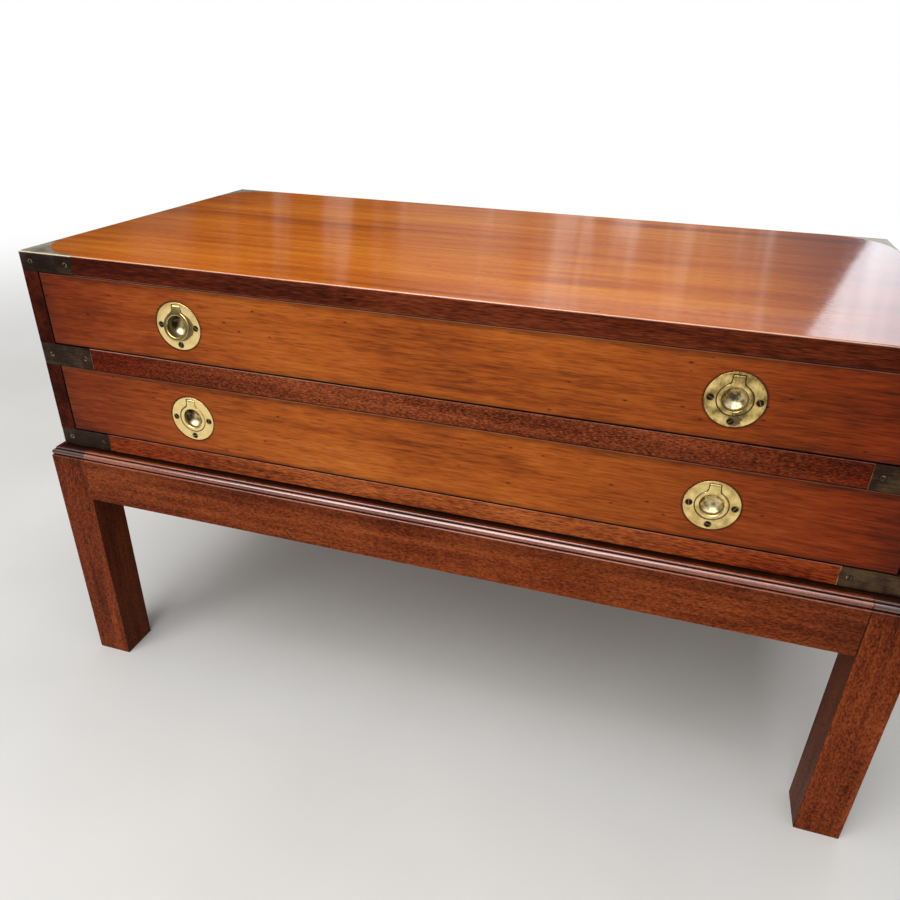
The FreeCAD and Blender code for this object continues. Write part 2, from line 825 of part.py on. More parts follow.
def make_drawer_front(pull_cuts):
    """Front with bevelled edges, sockets for the tails, a groove for the bottom and seats for the pulls."""
    front_foot = drawer_foot + drawer_front_lift
    front = block((-drawer_half, drawer_half), (front_face, front_back), (front_foot, drawer_head))
    rim = (("x", -drawer_half), ("x", drawer_half), ("y", front_face), ("z", front_foot), ("z", drawer_head))

    def chosen(middle):
        return middle.y < front_face + nearness and on_outer_edges(*rim)(middle)

    front = bevelled(front, edge_bevel, chosen)
    sockets = dovetails(*front_tails, glue_line)
    sockets += [mirror_x(s) for s in sockets]
    return front.cut(sockets + [make_bottom_space(panel_play)] + pull_cuts)


def make_drawer_back():
    """Back above the bottom board, its ends cut to pins between the sides' tails."""
    back = block(
        (-drawer_half, drawer_half),
        (drawer_back_inside, drawer_end),
        (groove_z[1] + panel_play, drawer_side_head - drawer_back_drop),
    )
    sockets = dovetails(*back_tails, glue_line)
    return back.cut(sockets + [mirror_x(s) for s in sockets])


def make_pulls():
    """Plates, rings, pins, screws and seats of a drawer's two pulls, in place on the lower drawer."""
    screws, holes = screw_set(pull_screw, pull_screw_places())
    pieces = {"plate": make_plate(holes), "ring": make_ring(), "pin": make_pin()}
    seats = [make_pull_pocket()] + holes
    placed = {}
    for side, x in (("left", -pull_x), ("right", pull_x)):
        placed[side] = {name: moved(shape, x, front_face, pull_z) for name, shape in pieces.items()}
        placed[side]["screws"] = [moved(s, x, front_face, pull_z) for s in screws]
        placed[side]["seats"] = [moved(s, x, front_face, pull_z) for s in seats]
    return placed


def raised(shape):
    """A lower drawer's piece, lifted to the upper drawer."""
    return moved(shape, 0, 0, level_step)


# Assembly: every node is a solid or a list of like solids

nodes = {}

leg = make_leg()
for corner, x_way, y_way in corner_names:
    nodes["leg_" + corner] = to_corner(leg, x_way, y_way)
front_stand_rail = make_front_stand_rail()
left_stand_rail = make_left_stand_rail()
nodes["stand_front_rail"] = front_stand_rail
nodes["stand_back_rail"] = mirror_y(front_stand_rail)
nodes["stand_left_rail"] = left_stand_rail
nodes["stand_right_rail"] = mirror_x(left_stand_rail)
fixing_block = make_fixing_block()
nodes["stand_fixing_blocks"] = [
    less(to_corner(fixing_block, x_way, y_way), stand_holes) for name, x_way, y_way in corner_names
]
nodes["stand_fixing_screws"] = stand_screws

nodes["top_core_board"] = make_core()
nodes["top_edge_lippings"] = make_lippings()
nodes["top_veneer"] = make_top_veneer()
side = make_side()
nodes["side_panel_left"] = side
nodes["side_panel_right"] = mirror_x(side)
nodes["mid_rail"] = make_front_rail("mid")
nodes["bottom_rail"] = make_front_rail("bottom")
nodes["bottom_back_rail"] = make_bottom_back_rail()
nodes["upper_runners"] = make_runners("mid")
nodes["lower_runners"] = make_runners("bottom")
nodes["dust_panel"] = block(*panel_span("mid"))
nodes["bottom_panel"] = block(*panel_span("bottom"))
nodes["back_panel"] = make_back_panel()
nodes["back_panel_screws"] = back_screws
stop = make_stop()
lower_stops = [stop, mirror_x(stop)]
nodes["drawer_stops"] = lower_stops + [raised(s) for s in lower_stops]
nodes.update(brass_pieces)
nodes["strap_screws"] = strap_screws

pulls = make_pulls()
pull_cuts = [cut for pull in pulls.values() for cut in pull["seats"]]
drawer_side = make_drawer_side()
drawer_pieces = {
    "drawer_front": make_drawer_front(pull_cuts),
    "drawer_left_side": drawer_side,
    "drawer_right_side": mirror_x(drawer_side),
    "drawer_back": make_drawer_back(),
    "drawer_bottom": make_bottom_space(0),
    "pull_pins": [pull["pin"] for pull in pulls.values()],
    "pull_screws": [screw for pull in pulls.values() for screw in pull["screws"]],
}
for side_name, pull in pulls.items():
    drawer_pieces[side_name + "_pull_plate"] = pull["plate"]
    drawer_pieces[side_name + "_pull_ring"] = pull["ring"]
for name, piece in drawer_pieces.items():
    nodes["lower_" + name] = piece
    nodes["upper_" + name] = [raised(p) for p in piece] if isinstance(piece, list) else raised(piece)

# The upper left ring stands a little out of its plate
hinge = Vector(-pull_x, front_face + pin_depth, pull_z + level_step + pin_height)
nodes["upper_left_pull_ring"].rotate(hinge, -X_AXIS, lifted_ring_degrees)

os.makedirs("parts", exist_ok=True)
for name, piece in nodes.items():
    shape = Part.makeCompound(piece) if isinstance(piece, list) else piece
    shape.exportStep(os.path.join("parts", name + ".step"))
print(len(nodes), "nodes")
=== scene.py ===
import math
import bmesh
import bpy
import numpy as np
from mathutils import Matrix, Vector


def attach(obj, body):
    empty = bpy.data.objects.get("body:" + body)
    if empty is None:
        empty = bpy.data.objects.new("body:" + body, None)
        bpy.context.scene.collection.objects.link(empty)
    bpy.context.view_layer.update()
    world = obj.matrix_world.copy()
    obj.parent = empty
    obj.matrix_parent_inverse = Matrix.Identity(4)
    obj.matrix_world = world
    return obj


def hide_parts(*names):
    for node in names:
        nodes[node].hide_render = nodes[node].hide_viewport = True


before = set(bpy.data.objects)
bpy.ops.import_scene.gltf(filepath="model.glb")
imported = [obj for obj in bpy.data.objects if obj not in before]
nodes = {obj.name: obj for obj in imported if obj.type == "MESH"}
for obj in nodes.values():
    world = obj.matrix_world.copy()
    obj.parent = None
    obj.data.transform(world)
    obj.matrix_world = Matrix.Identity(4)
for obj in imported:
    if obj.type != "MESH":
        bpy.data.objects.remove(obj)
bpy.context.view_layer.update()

print("frame:", len(nodes), "nodes")

mm = 1000.0  # millimetres in a metre

# camera at the photo's place: lens in mm on a 36 mm sensor, place in metres
photoView = dict(
    lens=29.623,
    sensor=36.0,
    nearest=0.01,
    place=(0.20382, -0.84338, 0.73016),
    right=(0.95615, 0.29203, 0.02213),
    up=(-0.1558, 0.44324, 0.88276),
)


def setCamera(v):
    data = bpy.data.cameras.new("photoCamera")
    data.lens, data.sensor_width, data.clip_start = v["lens"], v["sensor"], v["nearest"]
    right, up = Vector(v["right"]), Vector(v["up"])
    camera = bpy.data.objects.new("photoCamera", data)
    turn = Matrix((right, up, right.cross(up))).transposed().to_4x4()
    camera.matrix_world = Matrix.Translation(v["place"]) @ turn
    bpy.context.scene.collection.objects.link(camera)
    bpy.context.scene.camera = camera


setCamera(photoView)
print("camera set")


# one socket of a node tree: arithmetic on it adds Math nodes
class Tap:
    def __init__(self, tree, socket=None):
        self.tree, self.socket = tree, socket

    # any node: its type, its settings, then the values or links of its sockets
    def node(self, kind, settings=None, inputs=None, out=0):
        made = self.tree.nodes.new("ShaderNode" + kind)
        for key, value in (settings or {}).items():
            if key == "stops":
                ramp = made.color_ramp.elements
                while len(ramp) < len(value):
                    ramp.new(1.0)
                for element, (place, colour) in zip(ramp, value):
                    element.position, element.color = place, (*colour, 1.0)
            else:
                setattr(made, key, value)
        for key, value in (inputs or {}).items():
            socket = made.inputs[key]
            if isinstance(value, Tap):
                self.tree.links.new(value.socket, socket)
            elif socket.type == "RGBA":
                socket.default_value = (*value, 1.0)
            else:
                socket.default_value = value
        return Tap(self.tree, made.outputs[out] if made.outputs else None)

    def math(self, operation, a, b=0.0):
        return self.node("Math", dict(operation=operation), {0: a, 1: b})

    def __add__(self, other): return self.math("ADD", self, other)
    def __radd__(self, other): return self.math("ADD", other, self)
    def __sub__(self, other): return self.math("SUBTRACT", self, other)
    def __rsub__(self, other): return self.math("SUBTRACT", other, self)
    def __mul__(self, other): return self.math("MULTIPLY", self, other)
    def __rmul__(self, other): return self.math("MULTIPLY", other, self)
    def __truediv__(self, other): return self.math("DIVIDE", self, other)
    def __pow__(self, other): return self.math("POWER", self, other)
    def __abs__(self): return self.math("ABSOLUTE", self)

    def least(self, other): return self.math("MINIMUM", self, other)

    # the greatest of this value and others
    def most(self, *others):
        greatest = self
        for other in others:
            greatest = self.math("MAXIMUM", greatest, other)
        return greatest

    # length of the vector with these two sides
    def reach(self, other): return (self ** 2.0 + other ** 2.0) ** 0.5

    # smoothly from start to end as the value goes from low to high
    def rise(self, low, high, start=0.0, end=1.0):
        ends = {"Value": self, "From Min": low, "From Max": high, "To Min": start, "To Max": end}
        return self.node("MapRange", dict(interpolation_type="SMOOTHSTEP"), ends)

    def ramp(self, stops):
        return self.node("ValToRGB", dict(stops=stops), dict(Fac=self))

    # this value as the share of the second colour
    def tint(self, first, second):
        return self.node("Mix", dict(data_type="RGBA"), {0: self, 6: first, 7: second}, out=2)

    # vectors: stretched, pushed by another vector, and split
    def stretched(self, scale):
        return self.node("VectorMath", dict(operation="MULTIPLY"), {0: self, 1: scale})

    def pushed(self, by, amount):
        inputs = {0: by, 1: (amount,) * 3, 2: self}
        return self.node("VectorMath", dict(operation="MULTIPLY_ADD"), inputs)

    def axes(self):
        return [self.node("SeparateXYZ", None, dict(Vector=self), out=i) for i in range(3)]

    def noise(self, scale, detail=2.0, roughness=0.5, out=0):
        inputs = dict(Vector=self.stretched(scale), Scale=1.0, Detail=detail, Roughness=roughness)
        return self.node("TexNoise", None, inputs, out)

    # small scattered marks: near a cell's centre, in the share of cells picked by their colour
    def marks(self, scale, size, share, core=0.3, firm=0.9):
        inputs = dict(Vector=self.stretched(scale), Scale=1.0)
        near = self.node("TexVoronoi", None, inputs).rise(size, size * core)
        cell = self.node("TexVoronoi", None, inputs, out=1).axes()[0]
        return near * cell.rise(1 - share, 1 - share * firm)

    def bump(self, strength, distance):
        return self.node("Bump", None, dict(Strength=strength, Distance=distance, Height=self))


# a new material, a tap on its nodes, and the place on the piece
def startFinish(name):
    material = bpy.data.materials.new(name)
    material.use_nodes = True
    material.node_tree.nodes.clear()
    tap = Tap(material.node_tree)
    return material, tap, tap.node("TexCoord", out="Object")


# keywords are the shader's sockets, with _ for a space
def endFinish(material, tap, **sockets):
    inputs = {key.replace("_", " "): value for key, value in sockets.items()}
    tap.node("OutputMaterial", None, dict(Surface=tap.node("BsdfPrincipled", None, inputs)))
    return material


# sum of named layers, each times its share
def mixed(layers, shares):
    return sum(layers[key] * share for key, share in shares.items())


# What a wood has unless its own values differ. Scales are cycles per metre along and across the grain;
# coarse, fine and soft are the detail and roughness of a noise.
anyWood = dict(
    coarse=(3.0, 0.6), fine=(2.0, 0.6), soft=(3.0, 0.55),
    bendScale=(2.5, 9.0), bend=0.02, bandScale=(1.1, 26.0), streakScale=(7.0, 120.0),
    fleckScale=(55.0, 620.0), cloudScale=(8.0, 20.0),
    poreScale=(120.0, 1100.0), poreDetail=1.0, poreSpan=(0.54, 0.66),
    speckScale=(60.0, 170.0), speckSize=0.2, speck=0.06, speckDark=0.8,
    endShift=0.0, endDrift=dict(band=0.1, cloud=0.12),
    overlayLevel=0.7, overlayLevelBy=dict(fleck=0.8, cloud=1.2),
    uneven=1.0, roughBy=dict(pore=0.12, speck=0.2, fleck=0.1),
    bump=0.1, relief=0.0004, reliefBy=dict(fleck=0.5, streak=0.35, speck=-1.0), poreDepth=0.8,
    waveScale=(5.0, 9.0, 9.0), combScale=(9.0, 260.0),
    coatRough=0.12, coatIor=1.5,
)


# Polished wood. The tone is a sum of stretched noises (slow bands, streaks, flecks and soft clouds) read
# through a ramp from dark to light; pores, specks, grime with painted shade, and an overlay are laid over it:
# wear with painted highlights on most woods, a darker crown on the legs.
def woodFinish(name, given):
    w = dict(anyWood, **given)
    material, tap, place = startFinish(name)
    x, y, z = place.axes()
    if "mitred" in w:  # the grain turns with strips that are mitred at the corners
        turned = tap.node("CombineXYZ", None, dict(X=y, Y=x, Z=z))
        place = (abs(x) - abs(y)).rise(*w["mitred"]).tint(place, turned)

    def along(scale):
        return tuple(scale[0] if i == w["grain"] else scale[1] for i in range(3))

    bent = place.pushed(place.noise(along(w["bendScale"]), out=1), w["bend"])
    layers = dict(
        band=bent.noise(along(w["bandScale"]), *w["coarse"]) - 0.5,
        streak=bent.noise(along(w["streakScale"]), *w["coarse"]) - 0.5,
        fleck=place.noise(along(w["fleckScale"]), *w["fine"]) - 0.5,
        cloud=place.noise(along(w["cloudScale"]), *w["soft"]) - 0.5,
    )
    tone = 0.5 + mixed(layers, {key: w[key] for key in layers})
    colour = tone.ramp(w["ramp"])
    if "endRamp" in w:  # another colour towards the ends
        ends = (abs(x + w["endShift"]) + mixed(layers, w["endDrift"])).rise(*w["endSpan"])
        colour = ends.tint(colour, tone.ramp(w["endRamp"]))
    pore = place.noise(along(w["poreScale"]), w["poreDetail"]).rise(*w["poreSpan"])
    speck = place.marks(along(w["speckScale"]), w["speckSize"], w["speck"])
    layers.update(pore=pore, speck=speck)
    colour = (pore * w["pore"]).tint(colour, w["darkTint"])
    colour = (speck * w["speckDark"]).tint(colour, w["darkTint"])
    coat = w["coat"]
    if "grimeAndShade" in w:
        darkened = w["grimeAndShade"](place, x, y, z)
        colour = darkened.tint(colour, w["darkTint"])
    if "overlay" in w:
        overlaid = w["overlay"](x, y, z) * (w["overlayLevel"] + mixed(layers, w["overlayLevelBy"]))
        colour = overlaid.tint(colour, w["overlayColour"])
    if "shine" in w:
        coat = w["shine"](x, y, z) * (1.0 - darkened) * (w["shineCoat"] - coat) + coat
    roughness = w["rough"] + mixed(layers, w["roughBy"]) * w["uneven"]
    height = mixed(layers, w["reliefBy"]) - pore * (w["poreDepth"] * w["pore"])
    if "wave" in w:
        height = height + place.noise(w["waveScale"]) * w["wave"]
        height = height + place.noise(along(w["combScale"])) * w["comb"]
    return endFinish(
        material, tap, Base_Color=colour, Roughness=roughness, Normal=height.bump(w["bump"], w["relief"]),
        Coat_Weight=coat, Coat_Roughness=w["coatRough"], Coat_IOR=w["coatIor"],
        Specular_IOR_Level=w["gloss"],
    )


# Where grime, painted shade, wear and painted highlights lie on each piece. A pair is the span over which a
# mark comes in, in metres from the middle of the chest and up from the floor, or as its line says; of four
# numbers, the last two are the mark's values at the span's ends. Dark and Pale are the strength of a mark.
chest = dict(halfWidth=0.4575, halfDepth=0.2225, top=0.54)
# pull centres from the lower drawer up, the step from drawer to drawer, and the drawers' face
pull = dict(x=0.2725, z=0.37295, step=0.1055, face=-0.2225, screwCircle=0.0202)


# height above the nearest of evenly spaced levels
def aboveLevel(z, level, step):
    turn = (z - level) / step + 0.5
    return (turn.math("FRACT", turn) - 0.5) * step


# height above the nearest drawer's middle
def drawerHeight(z):
    return aboveLevel(z, pull["z"], pull["step"])


# how far out from the chest's nearest face
def outFrom(x, y):
    return (abs(x) - chest["halfWidth"]).most(abs(y) - chest["halfDepth"])


# edge, foot and arris are heights from the drawer's middle, halo is from a pull's centre
drawerFront = dict(
    cloud=((60.0, 60.0, 60.0), 3.0),
    edge=(0.035, 0.0425), edgeDrift=0.006, edgeDark=0.5,
    end=(0.40, 0.455), endDrift=0.02, endDark=0.48,
    left=(-0.28, -0.46), leftDrift=0.04, leftShare=0.6,
    foot=(-0.0373, -0.0381), gap=(0.4354, 0.4362), lineDark=0.92,
    halo=(0.0282, 0.0256), haloDark=0.72,
    arris=(0.0391, 0.0394), arrisPale=0.18,
)


# painted shade along a drawer front's edges, painted shadow lines at its foot and along its ends where the
# gaps are, a painted shadow round its pulls, and darker towards its ends
def frontShade(place, x, y, z):
    f = drawerFront
    h = drawerHeight(z)
    cloud = place.noise(*f["cloud"])
    edge = (abs(h) + cloud * f["edgeDrift"]).rise(*f["edge"])
    left = (x + cloud * f["leftDrift"]).rise(*f["left"]) * f["leftShare"]
    end = (abs(x) + cloud * f["endDrift"]).rise(*f["end"]).most(left)
    line = h.rise(*f["foot"]).most(abs(x).rise(*f["gap"]))
    halo = (abs(x) - pull["x"]).reach(h).rise(*f["halo"])
    return (edge * f["edgeDark"]).most(end * f["endDark"], halo * f["haloDark"], line * f["lineDark"])


# upper arris of a drawer front, pale from wear and a painted highlight
def frontArrisWearAndSheen(x, y, z):
    return drawerHeight(z).rise(*drawerFront["arris"]) * drawerFront["arrisPale"]


# front rails: the upper faces lie behind their arrises; the arrises are pale from wear and a painted
# highlight, the middle rail's most towards the left
frontRails = dict(
    behind=(-0.2221, -0.2218), ahead=(-0.2218, -0.2221),
    midTop=(0.4382, 0.43845), midArris=(0.4377, 0.4381), midFade=(0.1, -0.3, 0.3, 1.0),
    midFoot=(0.4143, 0.4138), midOnly=(0.40, 0.41), footDark=0.8,
    bottomTop=(0.3327, 0.33295), bottomOnly=(0.38, 0.36), bottomArris=(0.3322, 0.3326), bottomPale=0.4,
)


# painted shade: the upper face is black behind its arris, and the middle rail's foot has a dark line
def railShade(place, x, y, z):
    r = frontRails
    upper = z.rise(*r["midTop"]).most(z.rise(*r["bottomTop"]) * z.rise(*r["bottomOnly"]))
    foot = z.rise(*r["midFoot"]) * z.rise(*r["midOnly"])
    return (y.rise(*r["behind"]) * upper).most(foot * r["footDark"])


# the middle and bottom rails' front arrises, pale from wear and a painted highlight
def midRailArrisWearAndSheen(x, y, z):
    r = frontRails
    return z.rise(*r["midArris"]) * y.rise(*r["ahead"]) * x.rise(*r["midFade"])


def bottomRailArrisWearAndSheen(x, y, z):
    r = frontRails
    return z.rise(*r["bottomArris"]) * y.rise(*r["ahead"]) * r["bottomPale"]


# painted shade: the sides' front edges are dark where the drawers' ends pass them
sides = dict(gap=(0.4384, 0.4379))


def stileShade(place, x, y, z):
    return abs(x).rise(*sides["gap"])


# arris is measured out and up from the top's square edge
topBoard = dict(
    arris=(-0.0016, -0.0009),
    left=(-0.29, -0.42), leftCloud=((9.0, 9.0, 9.0),), leftDrift=0.08, leftDark=0.3,
    foot=(0.5199, 0.5195), footFade=(0.2, -0.25, 0.12, 0.42),
)


# the top's rounded edge is pale all round, from wear and a painted highlight
def topEdgeWearAndSheen(x, y, z):
    return (outFrom(x, y) + (z - chest["top"])).rise(*topBoard["arris"])


# its left end is a little darker
def topLeftDarkening(place, x, y, z):
    t = topBoard
    return (x + place.noise(*t["leftCloud"]) * t["leftDrift"]).rise(*t["left"]) * t["leftDark"]


# the foot of the band round it is pale from wear and a painted highlight, most towards the left
def bandEdgeWearAndSheen(x, y, z):
    t = topBoard
    return topEdgeWearAndSheen(x, y, z).most(z.rise(*t["foot"]) * x.rise(*t["footFade"]))


# the stand's moulding, measured out from the chest's face and down from the stand's top
moulding = dict(
    top=0.312,
    quirks=((0.0079, 0.0052, 0.0013), (0.0088, 0.0124, 0.0021)), core=0.45,  # out, down and reach of the wax and painted shade in each quirk
    ledgeOut=(0.0068, 0.0018), ledgeDown=(0.0036, 0.0030),
    shadeFrom=(0.0125, 0.0135), shadeTo=(0.034, 0.0135), shadeDark=0.3,
    cloud=((45.0, 45.0, 45.0), 3.0), waxShade=0.66, waxShadeBy=0.6, waxShadeMost=0.95,
    # crowns: a span of out less down, which is greatest there, a span of down, and how pale
    fillet=((0.0039, 0.0044), (0.0050, 0.0044), 0.6),
    bead=((0.0034, 0.0041), (0.0050, 0.0056), 0.6),
    arris=((-0.0013, -0.0008), (0.0117, 0.0121), 0.3),
    shineDown=(0.0120, 0.0110), shineOut=(0.0060, 0.0070),
    arrisFrom=(0.0112, 0.0118), arrisTo=(0.0136, 0.0130), arrisShine=0.45,
)


# how far out from the chest's face and how far down from the stand's top
def mouldingPlace(x, y, z):
    return outFrom(x, y), moulding["top"] - z


# black wax and painted shade in the two quirks of the moulding and on the ledge towards the chest's foot, and
# painted shade below
def quirkWaxAndShade(place, x, y, z):
    m = moulding
    out, down = mouldingPlace(x, y, z)
    cloud = place.noise(*m["cloud"])
    ledge = out.rise(*m["ledgeOut"]) * down.rise(*m["ledgeDown"])
    shade = down.rise(*m["shadeTo"]) * down.rise(*m["shadeFrom"]) * m["shadeDark"]
    quirks = [
        ((out - u) ** 2.0 + (down - v) ** 2.0).rise(reach ** 2, (reach * m["core"]) ** 2)
        for u, v, reach in m["quirks"]
    ]
    return (ledge.most(shade, *quirks) * (m["waxShade"] + cloud * m["waxShadeBy"])).least(m["waxShadeMost"])


# the moulding's crowns are paler from wear and a painted highlight: fillet, bead and the face's arris
def mouldingWearAndSheen(x, y, z):
    out, down = mouldingPlace(x, y, z)
    crowns = []
    for lean, level, pale in (moulding[key] for key in ("fillet", "bead", "arris")):
        crowns.append((out - down).rise(*lean) * down.rise(*level) * pale)
    return crowns[0].most(*crowns[1:])


# polish shines on the moulding's members more than on the flat below
def mouldingShine(x, y, z):
    m = moulding
    out, down = mouldingPlace(x, y, z)
    arris = down.rise(*m["arrisTo"]) * down.rise(*m["arrisFrom"]) * m["arrisShine"]
    return down.rise(*m["shineDown"]).most(arris) * out.rise(*m["shineOut"])


legs = dict(innerX=(0.4247, 0.4242), innerY=(0.1897, 0.1892), innerDark=0.5, crown=(0.2990, 0.3002))


# painted shade darkens the legs' inner faces, and their moulded crowns are black with polish
def legWaxAndShade(place, x, y, z):
    inner = abs(x).rise(*legs["innerX"]).most(abs(y).rise(*legs["innerY"]))
    return quirkWaxAndShade(place, x, y, z).most(inner * legs["innerDark"])


def legCrown(x, y, z):
    return z.rise(*legs["crown"])


standRail = dict(joint=(0.4222, 0.4233), jointDark=0.88, end=(0.35, 0.424), endDark=0.32)


# the joint with the right-hand leg has opened to a dark line, and the rail darkens towards it; the moulding
# keeps its wax and painted shade
def railEndDarkening(place, x, y, z):
    joint, end = x.rise(*standRail["joint"]), x.rise(*standRail["end"])
    return quirkWaxAndShade(place, x, y, z).most(joint * standRail["jointDark"], end * standRail["endDark"])


nearBlack = (0.009, 0.0035, 0.002)
railArrisWornSheen = (0.36, 0.20, 0.14)
darkRamp = ((0.15, (0.015, 0.0020, 0.0009)), (0.45, (0.047, 0.0052, 0.0016)), (0.85, (0.118, 0.0175, 0.0050)))
bandRamp = ((0.15, (0.036, 0.0060, 0.0022)), (0.45, (0.108, 0.0175, 0.0050)), (0.85, (0.205, 0.044, 0.0125)))
sideRamp = ((0.15, (0.012, 0.0016, 0.0007)), (0.45, (0.036, 0.0044, 0.0014)), (0.85, (0.095, 0.015, 0.0042)))
railRamp = ((0.15, (0.072, 0.0140, 0.0046)), (0.45, (0.190, 0.0385, 0.0118)), (0.85, (0.36, 0.092, 0.030)))
deepRamp = ((0.15, (0.022, 0.0022, 0.0008)), (0.45, (0.070, 0.0058, 0.0015)), (0.85, (0.158, 0.019, 0.0046)))
redRamp = ((0.15, (0.068, 0.0085, 0.0017)), (0.45, (0.184, 0.0225, 0.0031)), (0.85, (0.30, 0.054, 0.0084)))
standRamp = ((0.15, (0.070, 0.0125, 0.0040)), (0.45, (0.172, 0.031, 0.0075)), (0.85, (0.285, 0.066, 0.0165)))
footRamp = ((0.1, (0.135, 0.025, 0.0058)), (0.45, (0.305, 0.066, 0.0135)), (0.85, (0.45, 0.125, 0.029)))
goldRamp = ((0.1, (0.165, 0.030, 0.0045)), (0.45, (0.365, 0.082, 0.0095)), (0.85, (0.50, 0.145, 0.021)))
topRamp = ((0.1, (0.22, 0.043, 0.0040)), (0.45, (0.50, 0.118, 0.0075)), (0.85, (0.68, 0.225, 0.02)))
liningRamp = ((0.1, (0.15, 0.064, 0.022)), (0.5, (0.27, 0.125, 0.048)), (0.9, (0.37, 0.19, 0.082)))
innerRamp = ((0.1, (0.13, 0.062, 0.028)), (0.5, (0.22, 0.115, 0.056)), (0.9, (0.31, 0.175, 0.09)))
backRamp = ((0.1, (0.090, 0.030, 0.011)), (0.5, (0.165, 0.060, 0.022)), (0.9, (0.235, 0.096, 0.038)))

rawWood = dict(
    band=1.2, streak=0.9, fleck=0.6, cloud=0.5, pore=0.4, darkTint=(0.05, 0.02, 0.01), rough=0.64,
    coat=0.0, gloss=0.2,
)
standWood = dict(
    ramp=standRamp, band=0.7, streak=0.9, fleck=1.3, fleckScale=(270.0, 620.0), cloud=0.8, pore=0.45,
    poreScale=(260.0, 700.0), darkTint=nearBlack, rough=0.4, gloss=0.04, coat=0.0, coatRough=0.1, coatIor=2.0,
    shine=mouldingShine, shineCoat=1.0, grimeAndShade=quirkWaxAndShade, overlay=mouldingWearAndSheen, overlayColour=(0.44, 0.165, 0.11),
)
finishes = dict(
    # the top turns red-brown towards its right end through its end ramp, a painted reflection of a dark thing
    topVeneer=dict(
        grain=0, ramp=topRamp, endRamp=redRamp, endShift=0.35, endSpan=(0.56, 0.76), band=1.0, streak=0.75,
        streakScale=(4.0, 90.0), fleck=0.35, cloud=0.35, pore=0.25, darkTint=(0.07, 0.014, 0.003),
        speck=0.03, rough=0.06, uneven=0.25, coat=0.0, gloss=0.5, bump=0.06, wave=9.0, comb=0.9,
        grimeAndShade=topLeftDarkening, overlay=topEdgeWearAndSheen, overlayColour=(0.92, 0.66, 0.50),
    ),
    drawerVeneer=dict(
        grain=0, ramp=goldRamp, endRamp=redRamp, endShift=0.02, endSpan=(0.10, 0.43), band=0.7, streak=0.55,
        streakScale=(5.0, 140.0), fleck=0.75, fleckScale=(40.0, 520.0), cloud=0.85, pore=0.3,
        poreScale=(60.0, 900.0), darkTint=nearBlack, speck=0.14, rough=0.4, coat=0.05, gloss=0.06,
        grimeAndShade=frontShade, overlay=frontArrisWearAndSheen, overlayColour=(0.40, 0.21, 0.13),
    ),
    darkBand=dict(
        grain=0, mitred=(0.2347, 0.2353), ramp=bandRamp, endRamp=darkRamp, endShift=-0.06,
        endSpan=(0.08, 0.44), band=0.8, streak=0.9, fleck=1.2, fleckScale=(70.0, 760.0), cloud=0.6,
        pore=0.5, poreScale=(80.0, 1000.0), darkTint=nearBlack, rough=0.42, coat=0.03, gloss=0.03,
        overlay=bandEdgeWearAndSheen, overlayColour=(0.62, 0.42, 0.32),
    ),
    midRail=dict(
        grain=0, ramp=railRamp, endRamp=deepRamp, endShift=-0.02, endSpan=(0.12, 0.42), band=0.6, streak=0.8,
        fleck=1.7, fleckScale=(290.0, 880.0), cloud=0.6, pore=0.5, poreScale=(300.0, 1000.0),
        darkTint=nearBlack, rough=0.44, coat=0.02, gloss=0.03, grimeAndShade=railShade, overlay=midRailArrisWearAndSheen,
        overlayColour=railArrisWornSheen,
    ),
    bottomRail=dict(
        grain=0, ramp=footRamp, endRamp=redRamp, endSpan=(0.1, 0.36), band=0.8, streak=1.2, fleck=1.6,
        fleckScale=(105.0, 660.0), cloud=0.8, pore=0.5, poreScale=(110.0, 720.0), darkTint=nearBlack,
        rough=0.44, coat=0.04, gloss=0.05, grimeAndShade=railShade, overlay=bottomRailArrisWearAndSheen, overlayColour=railArrisWornSheen,
    ),
    side=dict(
        grain=1, ramp=sideRamp, band=1.0, streak=0.9, fleck=0.6, cloud=0.6, pore=0.4, darkTint=nearBlack,
        rough=0.42, coat=0.02, gloss=0.02, grimeAndShade=stileShade,
    ),
    standRailX=dict(standWood, grain=0, grimeAndShade=railEndDarkening),
    standRailY=dict(standWood, grain=1),
    leg=dict(standWood, grain=2, grimeAndShade=legWaxAndShade, overlay=legCrown, overlayColour=(0.014, 0.006, 0.005)),
    lining=dict(rawWood, grain=1, ramp=liningRamp),
    liningX=dict(rawWood, grain=0, ramp=liningRamp),
    innerX=dict(rawWood, grain=0, ramp=innerRamp),
    innerY=dict(rawWood, grain=1, ramp=innerRamp),
    backBoard=dict(rawWood, grain=0, ramp=backRamp),
)
woods = {name: woodFinish(name + "Wood", w) for name, w in finishes.items()}

corners = [a + "_" + b for a in ("front", "back") for b in ("left", "right")]
drawers = ("lower", "upper")
wearing = dict(
    topVeneer=["top_veneer"],
    drawerVeneer=[d + "_drawer_front" for d in drawers],
    darkBand=["top_edge_lippings"],
    midRail=["mid_rail"],
    bottomRail=["bottom_rail"],
    side=["side_panel_left", "side_panel_right"],
    standRailX=["stand_front_rail", "stand_back_rail"],
    standRailY=["stand_left_rail", "stand_right_rail"],
    leg=["leg_" + c for c in corners],
    lining=[d + "_drawer_" + s for d in drawers for s in ("left_side", "right_side")],
    liningX=[d + "_drawer_" + s for d in drawers for s in ("back", "bottom")],
    innerX=["top_core_board", "bottom_back_rail", "dust_panel", "bottom_panel", "stand_fixing_blocks",
            "drawer_stops"],
    innerY=["upper_runners", "lower_runners"],
    backBoard=["back_panel"],
)


def dress(names, material):
    for name in names:
        data = nodes[name].data
        data.materials.clear()
        data.materials.append(material)


for finish, names in wearing.items():
    dress(names, woods[finish])
print("woods:", len(woods))

